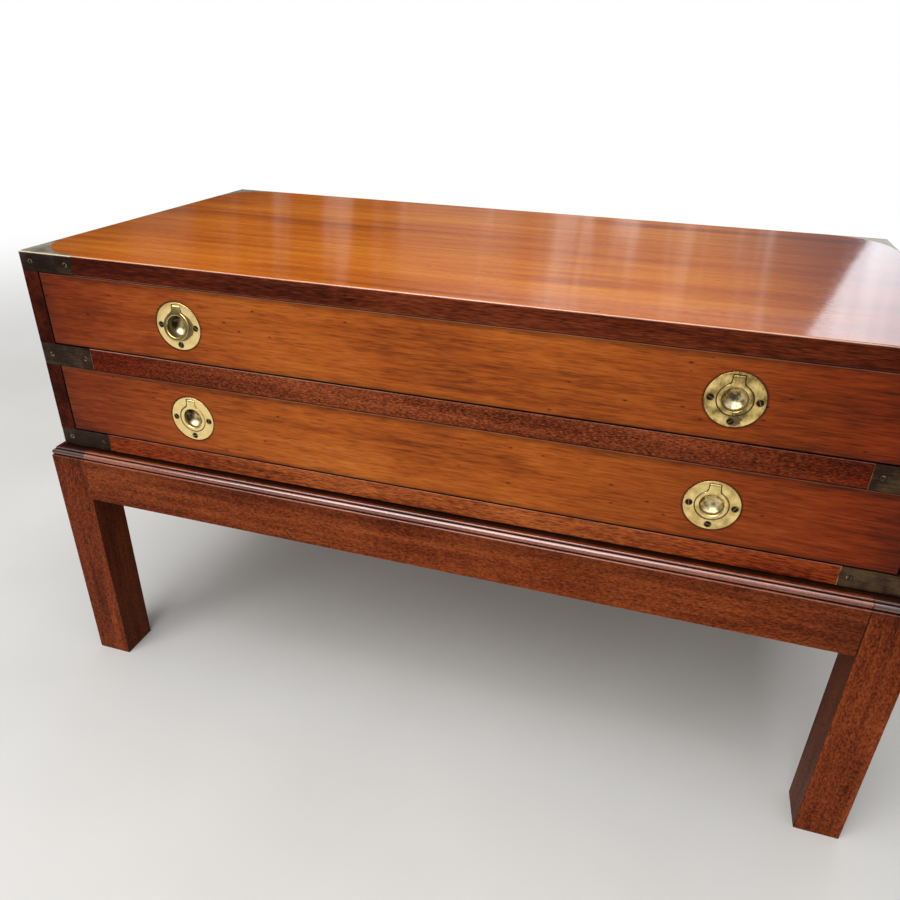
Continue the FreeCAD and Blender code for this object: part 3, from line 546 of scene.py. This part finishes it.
# noises are given as scale, detail and roughness; lengths are from a pull's centre, depths from the drawer's
# face
pullLook = dict(
    film=((95.0, 95.0, 95.0), 4.0, 0.6),
    scuff=((700.0, 500.0, 90.0), 2.0, 0.6),
    spots=((230.0, 230.0, 230.0), 4.0, 0.65),
    brass=((0.22, (0.24, 0.16, 0.05)), (0.38, (0.62, 0.44, 0.155)), (0.52, (0.92, 0.69, 0.28)),
           (0.85, (0.97, 0.79, 0.41))),
    sideways=(-0.01, 0.01, -1.0, 1.0), right=(-0.1, 0.1), upper=(0.40, 0.44),
    tone=0.55, filmShare=0.5, filmRight=0.2, filmUpper=0.3, scuffShare=0.15, dull=0.1,
    tarnish=((0.16, (0.020, 0.014, 0.006)), (0.32, (0.17, 0.12, 0.05)), (0.48, (0.60, 0.47, 0.24)),
             (0.7, (0.92, 0.80, 0.55))),
    bowl=(0.0033, 0.0042),
    shade=(0.0012, 0.0072), shadeUp=0.35, shadeLeft=0.9, shadeDrift=0.010, shadeRight=0.3, shadeDark=0.34,
    screwRing=(0.0041, 0.0031), groove=(0.66, 0.16),
    lip=0.0108, lipWidth=(0.0008, 0.0003), lipDepth=(0.0012, 0.0022),
    grimeAndShadeBase=0.35, grimeAndShadeDark=0.85, grimeAndShadeColour=(0.040, 0.025, 0.009),
    centreReflection=(0.0064, 0.0034), centreReflectionSpots=(0.62, 0.50),
    stain=(0.0056, 0.0044), stainPlace=(0.0035, -0.0182), stainDrift=0.010,
    floorDepth=(0.0025, 0.0034), floorReach=(0.0102, 0.0110), floorDark=0.9,
    proud=(-0.0003, -0.0014), proudDull=0.5, proudColour=(0.24, 0.17, 0.06),
    rough=0.2, bareFilm=0.6, roughBy=dict(bare=0.5, grimeAndShade=0.3, scuff=0.12, bowl=0.1), lessMetal=0.6,
    bump=0.12, relief=0.0004, reliefBy=dict(film=1.2, scuff=0.5, pits=1.6),
)


# Bright brass of the pulls: polished metal with a greenish film, duller on the right-hand pulls; tarnish in
# the bowl, with painted shade making it blackest up its left side; grime and painted shade in the gaps and at
# the bowl's lip, painted shade on the recess's floor, a stain and a painted dark reflection on the upper
# right pull, and grime round the screws
def pullBrass(b):
    material, tap, place = startFinish("pullBrass")
    x, y, z = place.axes()
    left = x - x.rise(*b["sideways"]) * pull["x"]
    u = abs(left)
    h = drawerHeight(z)
    depth = y - pull["face"]
    reach = u.reach(h)
    film = place.noise(*b["film"])
    scuff = place.noise(*b["scuff"]) - 0.5
    spots = place.noise(*b["spots"])
    right = x.rise(*b["right"])
    upper = right * z.rise(*b["upper"])

    tone = (film - 0.5) * (b["filmShare"] + right * b["filmRight"] + upper * b["filmUpper"])
    tone = b["tone"] + tone + scuff * b["scuffShare"] - (right + upper) * b["dull"]
    bowl = depth.rise(*b["bowl"])
    # painted shade: the bowl's tarnish is blackest up its left side, less on the right-hand pulls
    shaded = (h * b["shadeUp"] - left * b["shadeLeft"] + (spots - 0.5) * b["shadeDrift"]).rise(*b["shade"])
    shaded = shaded * x.rise(*b["right"], 1.0, b["shadeRight"])
    tarnish = (spots - shaded * b["shadeDark"]).ramp(b["tarnish"])
    colour = bowl.tint(tone.ramp(b["brass"]), tarnish)

    circle = pull["screwCircle"]  # screws at three and nine o'clock, then six
    screws = abs(u - circle).reach(h).least((h + circle).reach(u))
    # grime and painted shade in the gap round the ring and its tongue, and at the bowl's lip
    groove = tap.node("Attribute", dict(attribute_name="gap"), out="Fac").rise(*b["groove"])
    lip = abs(reach - b["lip"]).rise(*b["lipWidth"]) * depth.rise(*b["lipDepth"])
    grimeAndShade = screws.rise(*b["screwRing"]).most(groove, lip)
    # painted reflection: dark spots in the middle of the bowl
    centreReflection = reach.rise(*b["centreReflection"]) * spots.rise(*b["centreReflectionSpots"])
    stain = (left - b["stainPlace"][0]).reach(h - b["stainPlace"][1])
    stain = (stain + (spots - 0.5) * b["stainDrift"]).rise(*b["stain"])
    # painted shade on the floor of the recess
    floor = depth.rise(*b["floorDepth"]) * reach.rise(*b["floorReach"])
    grimeAndShade = (grimeAndShade * (film + b["grimeAndShadeBase"])).least(1.0)
    darkened = centreReflection.most(stain) * upper  # a stain and a painted dark reflection, on the upper right pull only
    grimeAndShade = grimeAndShade.most(darkened, floor * b["floorDark"])

    proud = depth.rise(*b["proud"]) * b["proudDull"]  # a ring left proud is duller
    colour = proud.tint(colour, b["proudColour"])
    colour = (grimeAndShade * b["grimeAndShadeDark"]).tint(colour, b["grimeAndShadeColour"])
    layers = dict(film=film, scuff=scuff, grimeAndShade=grimeAndShade, bowl=bowl, pits=bowl * spots)
    layers["bare"] = (b["bareFilm"] - film).most(0.0)
    return endFinish(
        material, tap, Base_Color=colour, Metallic=1.0 - grimeAndShade * b["lessMetal"],
        Roughness=b["rough"] + mixed(layers, b["roughBy"]),
        Normal=mixed(layers, b["reliefBy"]).bump(b["bump"], b["relief"]),
    )


# straps and corners: screw levels go up from the bottom straps, and away is from the outer corner
strap = dict(length=0.066, screwLevel=0.3225, screwStep=0.1035, screwLevels=3, screwAway=(0.013, 0.057))
strapLook = dict(
    film=((45.0, 45.0, 45.0), 4.0, 0.65), scuff=((60.0, 60.0, 900.0), 2.0, 0.6),
    right=(0.2, 0.4), bottom=(0.36, 0.33), leafFrom=(0.5, 0.52), leafTo=(0.539, 0.537),
    toneBy=dict(scuff=0.4, right=0.04, low=0.14, leaf=-0.06),
    patina=((0.3, (0.016, 0.0085, 0.005)), (0.5, (0.037, 0.0205, 0.0118)), (0.75, (0.115, 0.070, 0.036))),
    overlaid=((0.3, (0.26, 0.22, 0.16)), (0.5, (0.44, 0.385, 0.30)), (0.75, (0.58, 0.52, 0.42))),
    topLeaf=(-0.0016, -0.0002), corner=(-0.0019, -0.0007), cornerPale=0.5,
    end=(-0.0010, -0.0003), endFilm=(0.36, 0.5), endBelow=(0.50, 0.49), endPale=0.35, endLow=0.55,
    endColour=(0.50, 0.31, 0.115),
    sunk=0.0029, sunkWidth=(0.0006, 0.0002), sunkDark=0.85, sunkColour=(0.006, 0.004, 0.003),
    arris=(-0.0019, -0.0010), arrisPale=0.8, arrisColour=(0.66, 0.58, 0.42),
    rough=0.46, roughFilm=0.4, roughScuff=0.2, metal=0.75, metalFilm=0.2, gloss=0.2,
    bump=0.12, relief=0.0003, reliefFilm=0.5,
)


# Dull straps and corners: brown-black patina, scratched; the top leaf paler as painted light, the outer
# corner rubbed paler, bare brass along the straps' ends, dark round the screws, and a pale top arris from
# wear and a painted highlight
def strapBrass(b):
    material, tap, place = startFinish("strapBrass")
    x, y, z = place.axes()
    film = place.noise(*b["film"])
    scuff = place.noise(*b["scuff"]) - 0.5
    right = x.rise(*b["right"])
    low = right * z.rise(*b["bottom"])
    leaf = z.rise(*b["leafFrom"]) * z.rise(*b["leafTo"])  # upright leaves of the top corners
    tone = film + mixed(dict(scuff=scuff, right=right, low=low, leaf=leaf), b["toneBy"])
    corner = (abs(x) + abs(y) - (chest["halfWidth"] + chest["halfDepth"])).rise(*b["corner"])
    # paler on the top leaf as painted light, and down the outer corner from wear
    pale = (z - chest["top"]).rise(*b["topLeaf"]).most(corner * b["cornerPale"])
    colour = pale.tint(tone.ramp(b["patina"]), tone.ramp(b["overlaid"]))
    away = (chest["halfWidth"] - abs(x)).most(chest["halfDepth"] - abs(y))
    end = (away - strap["length"]).rise(*b["end"]) * film.rise(*b["endFilm"]) * z.rise(*b["endBelow"])
    colour = (end * (b["endPale"] + low * b["endLow"])).tint(colour, b["endColour"])
    up = aboveLevel(z, strap["screwLevel"], strap["screwStep"])
    first, second = strap["screwAway"]
    beside = abs(away - first).least(abs(away - second))
    sunk = abs(beside.reach(up) - b["sunk"]).rise(*b["sunkWidth"])
    colour = (sunk * b["sunkDark"]).tint(colour, b["sunkColour"])
    # a pale line along the top arris, wear with a painted highlight
    arris = (outFrom(x, y) + (z - chest["top"])).rise(*b["arris"])
    colour = (arris * b["arrisPale"]).tint(colour, b["arrisColour"])
    return endFinish(
        material, tap, Base_Color=colour, Metallic=b["metal"] + film * b["metalFilm"],
        Roughness=b["rough"] + (film - 0.5) * b["roughFilm"] + scuff * b["roughScuff"],
        Normal=(film * b["reliefFilm"] + scuff).bump(b["bump"], b["relief"]), Specular_IOR_Level=b["gloss"],
    )


screwLook = dict(
    film=((420.0, 420.0, 420.0), 3.0, 0.6), stops=(0.3, 0.7),
    rim=(1.3, 0.5), rimNoise=((240.0, 240.0, 240.0), 1.0), rimSpan=(0.44, 0.62),
    metal=0.75, metalFilm=0.25, roughFilm=0.3, bump=0.15, relief=0.0002,
)


# screw heads: brass gone brown, with grime, and rubbed paler in places towards the rim where it has a colour
def screwMetal(name, low, high, rough, rim=None):
    s = screwLook
    material, tap, place = startFinish(name)
    film = place.noise(*s["film"])
    colour = film.ramp(tuple(zip(s["stops"], (low, high))))
    if rim:
        edge = tap.node("Attribute", dict(attribute_name="gap"), out="Fac").rise(*s["rim"])
        colour = (edge * place.noise(*s["rimNoise"]).rise(*s["rimSpan"])).tint(colour, rim)
    return endFinish(
        material, tap, Base_Color=colour, Metallic=s["metal"] + film * s["metalFilm"],
        Roughness=rough + (film - 0.5) * s["roughFilm"], Normal=film.bump(s["bump"], s["relief"]),
    )


metals = dict(
    pull=pullBrass(pullLook),
    strap=strapBrass(strapLook),
    strapScrew=screwMetal("strapScrewBrass", low=(0.022, 0.014, 0.008), high=(0.095, 0.066, 0.036),
                          rough=0.4, rim=(0.30, 0.23, 0.14)),
    pullScrew=screwMetal("pullScrewBrass", low=(0.008, 0.004, 0.002), high=(0.034, 0.018, 0.008), rough=0.5),
    steel=screwMetal("darkSteel", low=(0.04, 0.036, 0.033), high=(0.13, 0.12, 0.11), rough=0.45),
)
for kind in ("top_corner_", "mid_strap_", "bottom_strap_"):
    dress([kind + c for c in corners], metals["strap"])
dress(["lower_pull_pins", "upper_pull_pins"], metals["pull"])
dress(["stand_fixing_screws", "back_panel_screws"], metals["steel"])
print("metals:", len(metals))


# quads of a grid of points: each row closes on itself, and the last row joins the first with closeRows
def gridFaces(rows, cols, closeRows):
    r = np.arange(rows if closeRows else rows - 1)[:, None]
    c = np.arange(cols)[None, :]
    r2, c2 = (r + 1) % rows, (c + 1) % cols
    return np.stack([r * cols + c, r * cols + c2, r2 * cols + c2, r2 * cols + c], -1).reshape(-1, 4)


mending = dict(weld=2e-6, sliver=1e-7, sharp=math.radians(35.0))


# one closed piece from equal grids in millimetres, its seams and poles merged and its faces turned outwards;
# gap is a value kept at each point, for its material
def makePiece(name, grids, gap, body, material, replaced, closeRows=False):
    count, rows, cols = grids.shape[:3]
    faces = gridFaces(rows, cols, closeRows) + np.arange(count)[:, None, None] * (rows * cols)
    mesh = bpy.data.meshes.new(name)
    mesh.from_pydata((grids.reshape(-1, 3) / mm).tolist(), [], faces.reshape(-1, 4).tolist())
    kept = mesh.attributes.new("gap", "FLOAT", "POINT")
    kept.data.foreach_set("value", gap.astype(np.float32).ravel())
    form = bmesh.new()
    form.from_mesh(mesh)
    bmesh.ops.remove_doubles(form, verts=form.verts, dist=mending["weld"])
    bmesh.ops.dissolve_degenerate(form, edges=form.edges, dist=mending["sliver"])
    bmesh.ops.recalc_face_normals(form, faces=form.faces)
    form.to_mesh(mesh)
    form.free()
    mesh.shade_smooth()
    mesh.set_sharp_from_angle(angle=mending["sharp"])
    piece = bpy.data.objects.new(name, mesh)
    bpy.context.scene.collection.objects.link(piece)
    mesh.materials.append(material)
    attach(piece, body)
    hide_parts(*replaced)


# steps across and along the slot, and the room beside it in half slots
headGrid = dict(across=8, along=13, clear=1.5)


# Slotted screw heads. Across the slot u runs from edge to edge, and along it v = t * sqrt(r*r - u*u); the
# height is a low dome, less the slot's depth between its walls; the loop of t goes over the top and back
# underneath. The value kept for each point is its distance from the rim.
def screwHeads(s, places, normals, turns):
    r, half, steps = s["radius"], s["slot"] / 2, headGrid["along"]
    edge = r * np.sin(np.linspace(np.pi / 2, 0, headGrid["across"]))
    edge = edge[edge > half * headGrid["clear"]]
    u = np.concatenate([-edge, [-half, -half, half, half], edge[::-1]])
    inSlot = np.zeros(len(u), bool)
    inSlot[len(edge) + 1:len(edge) + 3] = True
    t = np.concatenate([np.linspace(-1, 1, steps), np.linspace(1, -1, steps)])
    top = np.arange(2 * steps) < steps
    uu = np.broadcast_to(u[:, None], (len(u), len(t)))
    vv = t[None, :] * np.sqrt(np.maximum(r * r - uu * uu, 0.0))
    dome = s["proud"] + s["dome"] * (1 - (uu ** 2 + vv ** 2) / r ** 2)
    h = np.where(top[None, :], dome - np.where(inSlot[:, None], s["slotDepth"], 0.0), -s["under"])
    turns = np.asarray(turns)[:, None, None]
    a = uu * np.cos(turns) - vv * np.sin(turns)
    b = uu * np.sin(turns) + vv * np.cos(turns)
    normals = np.asarray(normals, float)
    upright = np.where(np.abs(normals[:, 2:]) > 0.5, [[0.0, 1.0, 0.0]], [[0.0, 0.0, 1.0]])
    sideways = np.cross(upright, normals)
    places, normals, upright, sideways = (
        v[:, None, None, :] for v in (np.asarray(places, float), normals, upright, sideways))
    heads = places + sideways * a[..., None] + upright * b[..., None]
    heads = heads + normals * np.broadcast_to(h, a.shape)[..., None]
    rim = np.where(inSlot[:, None] & top[None, :], r, r - np.sqrt(uu ** 2 + vv ** 2))
    return heads, np.broadcast_to(rim, a.shape)


strapScrew = dict(radius=2.75, slot=0.7, slotDepth=0.7, dome=0.1, proud=0.03, under=1.5, turn=2.4)


# two screws on each face of every strap and corner, at both ends of the front, back and sides
def strapScrews(s):
    w, d = chest["halfWidth"] * mm, chest["halfDepth"] * mm
    levels = (strap["screwLevel"] + np.arange(strap["screwLevels"]) * strap["screwStep"]) * mm
    fromCorner = np.array(strap["screwAway"]) * mm
    sx, sy, z, f = [g.ravel() for g in np.meshgrid((-1, 1), (-1, 1), levels, fromCorner, indexing="ij")]
    zero = np.zeros_like(z)
    front = np.stack([sx * (w - f), sy * d, z], -1)
    side = np.stack([sx * w, sy * (d - f), z], -1)
    places = np.concatenate([front, side])
    normals = np.concatenate([np.stack([zero, sy, zero], -1), np.stack([sx, zero, zero], -1)])
    heads, rim = screwHeads(s, places, normals, np.arange(len(places)) * s["turn"])
    makePiece("strapScrewHeads", heads, rim, "chest_and_stand", metals["strapScrew"],
              ["strap_screws"])


strapScrews(strapScrew)

pullScrew = dict(radius=3.0, slot=0.8, slotDepth=0.9, dome=0.25, proud=0.05, under=1.5, turn=1.9)
plate = dict(
    radius=25.4, rim=0.35, thick=2.5, boss=16.8, bossDepth=6.4, cup=12.4, cupDepth=10.4, wall=1.4,
    recess=15.4, recessDepth=3.6, slotHalf=5.4, slotTop=22.9, slotDepth=5.0, bowl=11.0, bowlBase=9.0,
    lip=0.3, fillet=6.0, square=36.0, slotEdge=0.05, shelf=(0.1, 0.8), inside=0.9, far=9.0,
    around=240, rimSteps=6, lipSteps=5, bowlSteps=18,
)
ring = dict(
    inner=11.0, outer=15.0, thick=3.2, edge=1.1, tongueHalf=5.0, tongueTop=22.5, fillet=5.0, square=12.0,
    pinHeight=20.2, knuckle=2.3, margin=0.1, around=240, arcSteps=6, flatSteps=10,
    lifted=dict(upper_left=12.0),  # degrees out of the recess
)


# radius of a rounded upright tab above the centre, at angle a from straight up: a p-norm of its half width
# and height
def tabRadius(a, half, top, power, least=1e-6):
    up = np.maximum(np.cos(a), least)
    r = ((np.abs(np.sin(a)) / half) ** power + (up / top) ** power) ** (-1 / power)
    return np.where(np.cos(a) > 0, r, 0.0)


# the larger of two radii, with a hollow of the given reach between them
def hollowed(a, b, reach):
    return np.maximum(a, b) + np.maximum(reach - np.abs(a - b), 0) ** 2 / (4 * reach)


# local width, height and depth from the drawer's face to the part's frame, as the one grid of a piece
def onDrawer(centre, u, h, depth):
    u, h, depth = np.broadcast_arrays(u, h, depth)
    return np.stack([centre[0] + u, pull["face"] * mm + depth, centre[1] + h], -1)[None]


# Pull plate: one polar grid. Each row is a radius and a depth at every angle, from the back's middle over
# the bosses, the rim, the face, the recess with the tongue's slot, and down the finger bowl, part of a
# sphere. The value kept for each point is its distance from the recess's wall, with more added well inside.
def pullPlate(p, centre):
    a = np.linspace(0, 2 * np.pi, p["around"], endpoint=False)
    opening = hollowed(p["recess"], tabRadius(a, p["slotHalf"], p["slotTop"], p["square"]), p["fillet"])
    boss = np.maximum(p["boss"], opening + p["wall"])
    floor = np.where(opening > p["recess"] + p["slotEdge"], p["slotDepth"], p["recessDepth"])
    rows = [(0.0, p["cupDepth"]), (p["cup"], p["cupDepth"]), (p["cup"], p["bossDepth"]),
            (boss, p["bossDepth"]), (boss, p["thick"]), (p["radius"], p["thick"])]
    for k in np.linspace(0, np.pi / 2, p["rimSteps"]):
        rows.append((p["radius"] - p["rim"] * (1 - np.cos(k)), p["rim"] * (1 - np.sin(k))))
    for k in np.linspace(np.pi / 2, 0, p["lipSteps"]):
        rows.append((opening + p["lip"] * (1 - np.cos(k)), p["lip"] * (1 - np.sin(k))))
    first, second = p["shelf"]
    rows += [(opening, floor), (np.minimum(opening, p["recess"] - first), floor),
             (np.minimum(opening, p["recess"] - second), p["recessDepth"])]
    depth = p["bowlBase"] - p["recessDepth"]
    sphere = (p["bowl"] ** 2 + depth ** 2) / (2 * depth)
    for k in np.linspace(0, 1, p["bowlSteps"]):
        r = p["bowl"] * np.sin((1 - k) * np.pi / 2)
        rows.append((r, p["bowlBase"] - sphere + np.sqrt(sphere ** 2 - r ** 2)))
    r, d = (np.array([np.broadcast_to(row[i], a.shape) for row in rows]) for i in range(2))
    gap = np.abs(r - opening) + np.where(r < opening - p["inside"], p["far"], 0.0)
    return onDrawer(centre, r * np.sin(a), r * np.cos(a), d), gap


# Ring with its tongue: round each angle a closed section, s going from the hole to the outline and k round
# its eased corners; the outline is the larger of circle and tongue, with a hollow between them; the tongue's
# end rolls round the pin, and the whole ring is lifted about it. The value kept is the distance from the
# outline.
def pullRing(g, centre, lift):
    a = np.linspace(0, 2 * np.pi, g["around"], endpoint=False)
    outer = hollowed(g["outer"], tabRadius(a, g["tongueHalf"], g["tongueTop"], g["square"]), g["fillet"])
    arc, flat, e = np.linspace(-90, 0, g["arcSteps"]), np.linspace(0, 1, g["flatSteps"])[1:-1], g["edge"]
    k = [arc, arc + 90, flat * 0 + 90, arc + 180, arc + 270, flat * 0 + 270]
    s = [arc * 0 + 1, arc * 0 + 1, 1 - flat, arc * 0, arc * 0, flat]
    back = [arc * 0, arc * 0 + 1, flat * 0 + 1, arc * 0 + 1, arc * 0, flat * 0]
    k, s, back = (np.concatenate(v)[:, None] for v in (k, s, back))
    r = (g["inner"] + e) * (1 - s) + (outer - e) * s + e * np.cos(np.radians(k))
    d = e + (g["thick"] - 2 * e) * back + e * np.sin(np.radians(k))
    u, h = r * np.sin(a), r * np.cos(a)
    over = np.sqrt(np.maximum(g["knuckle"] ** 2 - np.maximum(h - g["pinHeight"], 0) ** 2, 0.0))
    d = np.clip(d, g["knuckle"] - over, g["knuckle"] + over)
    up, behind = h - g["pinHeight"], d - g["knuckle"]
    c, n = math.cos(math.radians(lift)), math.sin(math.radians(lift))
    lifted = onDrawer(centre, u, g["pinHeight"] + up * c - behind * n, g["knuckle"] + behind * c + up * n)
    return lifted, outer - r + g["margin"]


for level, drawer in enumerate(drawers):
    z = (pull["z"] + level * pull["step"]) * mm
    c = pull["screwCircle"] * mm
    places = []
    for side, way in (("left", -1), ("right", 1)):
        centre = (way * pull["x"] * mm, z)
        name = drawer + "_" + side
        grid, gap = pullPlate(plate, centre)
        makePiece(name + "_plate", grid, gap, drawer + "_drawer", metals["pull"],
                  [name + "_pull_plate"])
        grid, gap = pullRing(ring, centre, ring["lifted"].get(name, 0.0))
        makePiece(name + "_ringLoop", grid, gap, name + "_ring", metals["pull"],
                  [name + "_pull_ring"], closeRows=True)
        places += [(centre[0] + u, pull["face"] * mm, z + h) for u, h in ((c, 0), (0, -c), (-c, 0))]
    turns = np.arange(len(places)) * pullScrew["turn"] + level
    heads, rim = screwHeads(pullScrew, places, [(0, -1, 0)] * len(places), turns)
    makePiece(drawer + "_pullScrewHeads", heads, rim, drawer + "_drawer",
              metals["pullScrew"], [drawer + "_pull_screws"])
print("pulls and screws made")

# floor, lights and a white surround
paleFloor = dict(colour=(0.60, 0.595, 0.58), lighter=1.08, cloud=((3.0, 3.0, 3.0), 4.0), stops=(0.3, 0.7),
                 fade=(0.9, 3.2), half=40.0)


# a wide pale floor that fades to the white surround, for the camera only
def makeFloor(s):
    mesh = bpy.data.meshes.new("paleFloor")
    square = [(x * s["half"], y * s["half"], 0.0) for x, y in ((-1, -1), (1, -1), (1, 1), (-1, 1))]
    mesh.from_pydata(square, [], [(0, 1, 2, 3)])
    floor = bpy.data.objects.new("paleFloor", mesh)
    bpy.context.scene.collection.objects.link(floor)
    material, tap, place = startFinish("paleFloor")
    px, py = place.axes()[:2]
    lighter = tuple(v * s["lighter"] for v in s["colour"])
    shade = place.noise(*s["cloud"]).ramp(tuple(zip(s["stops"], (s["colour"], lighter))))
    matt = tap.node("BsdfDiffuse", None, dict(Color=shade))
    white = tap.node("Emission", None, dict(Color=(1.0, 1.0, 1.0), Strength=1.0))
    far = px.reach(py).rise(*s["fade"])
    seen = tap.node("LightPath", out="Is Camera Ray")
    shown = tap.node("MixShader", None, {0: far * seen, 1: matt, 2: white})
    tap.node("OutputMaterial", None, dict(Surface=shown))
    mesh.materials.append(material)


lamps = dict(
    keyPanel=dict(place=(-0.7, -1.9, 2.4), target=(0.0, -0.2, 0.35), size=(2.2, 2.2), watts=66.0),
    skyPanel=dict(place=(0.0, -0.1, 3.0), target=(0.0, 0.0, 0.5), size=(2.6, 2.6), watts=46.0),
    backPanel=dict(place=(1.345, 2.864, 1.418), target=(-0.205, 0.364, 0.458), size=(0.9, 1.0), watts=5.4,
                   roll=-12.0, colour=(0.84, 0.92, 1.0)),
)


def areaLight(name, place, target, size, watts, roll=0.0, colour=(1.0, 1.0, 1.0)):
    data = bpy.data.lights.new(name, "AREA")
    data.shape, data.size, data.size_y = "RECTANGLE", *size
    data.energy, data.color = watts, colour
    lamp = bpy.data.objects.new(name, data)
    lamp.location = place
    turn = (Vector(target) - Vector(place)).to_track_quat("-Z", "Y")
    lamp.rotation_euler = (turn.to_matrix() @ Matrix.Rotation(math.radians(roll), 3, "Z")).to_euler()
    bpy.context.scene.collection.objects.link(lamp)


# spans of the direction that a mirrored ray takes, and the strength of each pale thing it meets
surround = dict(
    ambient=0.34, ambientColour=(1.0, 0.985, 0.96), least=0.03,
    front=(0.2, -0.3), frontUp=(0.25, 0.7, 0.12, 0.97),
    side=(-0.33, 0.05), sideLean=(0.9, 0.3), sidePale=0.2,
    barNoise=((15.0, 0.5, 1.2), 3.0, 0.6), bar=(0.5, 0.64),
    barBack=(0.5, 0.85), barRight=(-0.8, -0.1), barPale=0.42,
    shelfFrom=(0.262, 0.275), shelfTo=(0.305, 0.29),
    shelfBack=(0.5, 0.8), shelfRight=(-0.35, -0.1), shelfPale=0.3,
    wallFrom=(-0.37, -0.32), wallTo=(-0.18, -0.22), wallBack=(0.5, 0.85), wallPale=0.13,
)


# white to the camera; mirrored rays see a pale studio, brightest overhead in front, with soft upright bars
# and a pale wall behind, and dim behind the chest on its left
def makeSurround(s):
    world = bpy.data.worlds.new("studio")
    bpy.context.scene.world = world
    world.use_nodes = True
    world.node_tree.nodes.clear()
    tap = Tap(world.node_tree)
    seen = tap.node("LightPath", out="Is Camera Ray")
    glossy = tap.node("LightPath", out="Is Glossy Ray")
    through = tap.node("LightPath", out="Is Transmission Ray")
    way = tap.node("TexCoord", out="Generated")
    dx, dy, dz = way.axes()
    front = dy.rise(*s["front"]) * dz.rise(*s["frontUp"])
    side = (dx * s["sideLean"][0] + dz * s["sideLean"][1]).rise(*s["side"])
    bars = way.noise(*s["barNoise"]).rise(*s["bar"]) * dy.rise(*s["barBack"]) * dx.rise(*s["barRight"])
    shelf = dz.rise(*s["shelfFrom"]) * dz.rise(*s["shelfTo"])
    shelf = shelf * dy.rise(*s["shelfBack"]) * dx.rise(*s["shelfRight"])
    wall = dx.rise(*s["wallFrom"]) * dx.rise(*s["wallTo"]) * dy.rise(*s["wallBack"])
    pale = s["least"] + front + side * s["sidePale"]
    pale = pale + bars * s["barPale"] + shelf * s["shelfPale"] + wall * s["wallPale"]
    around = pale.ramp(((0.0, (0.0, 0.0, 0.0)), (1.0, (1.0, 1.0, 1.0))))
    white = tap.node("Background", None, dict(Color=(1.0, 1.0, 1.0), Strength=1.0))
    mirrored = tap.node("Background", None, dict(Color=around, Strength=1.0))
    soft = tap.node("Background", None, dict(Color=s["ambientColour"], Strength=s["ambient"]))
    lit = tap.node("MixShader", None, {0: glossy.most(through), 1: soft, 2: mirrored})
    tap.node("OutputWorld", None, dict(Surface=tap.node("MixShader", None, {0: seen, 1: lit, 2: white})))


makeFloor(paleFloor)
for name, lamp in lamps.items():
    areaLight(name, **lamp)
makeSurround(surround)
bpy.context.scene.view_settings.view_transform = "Standard"
print("studio lit")
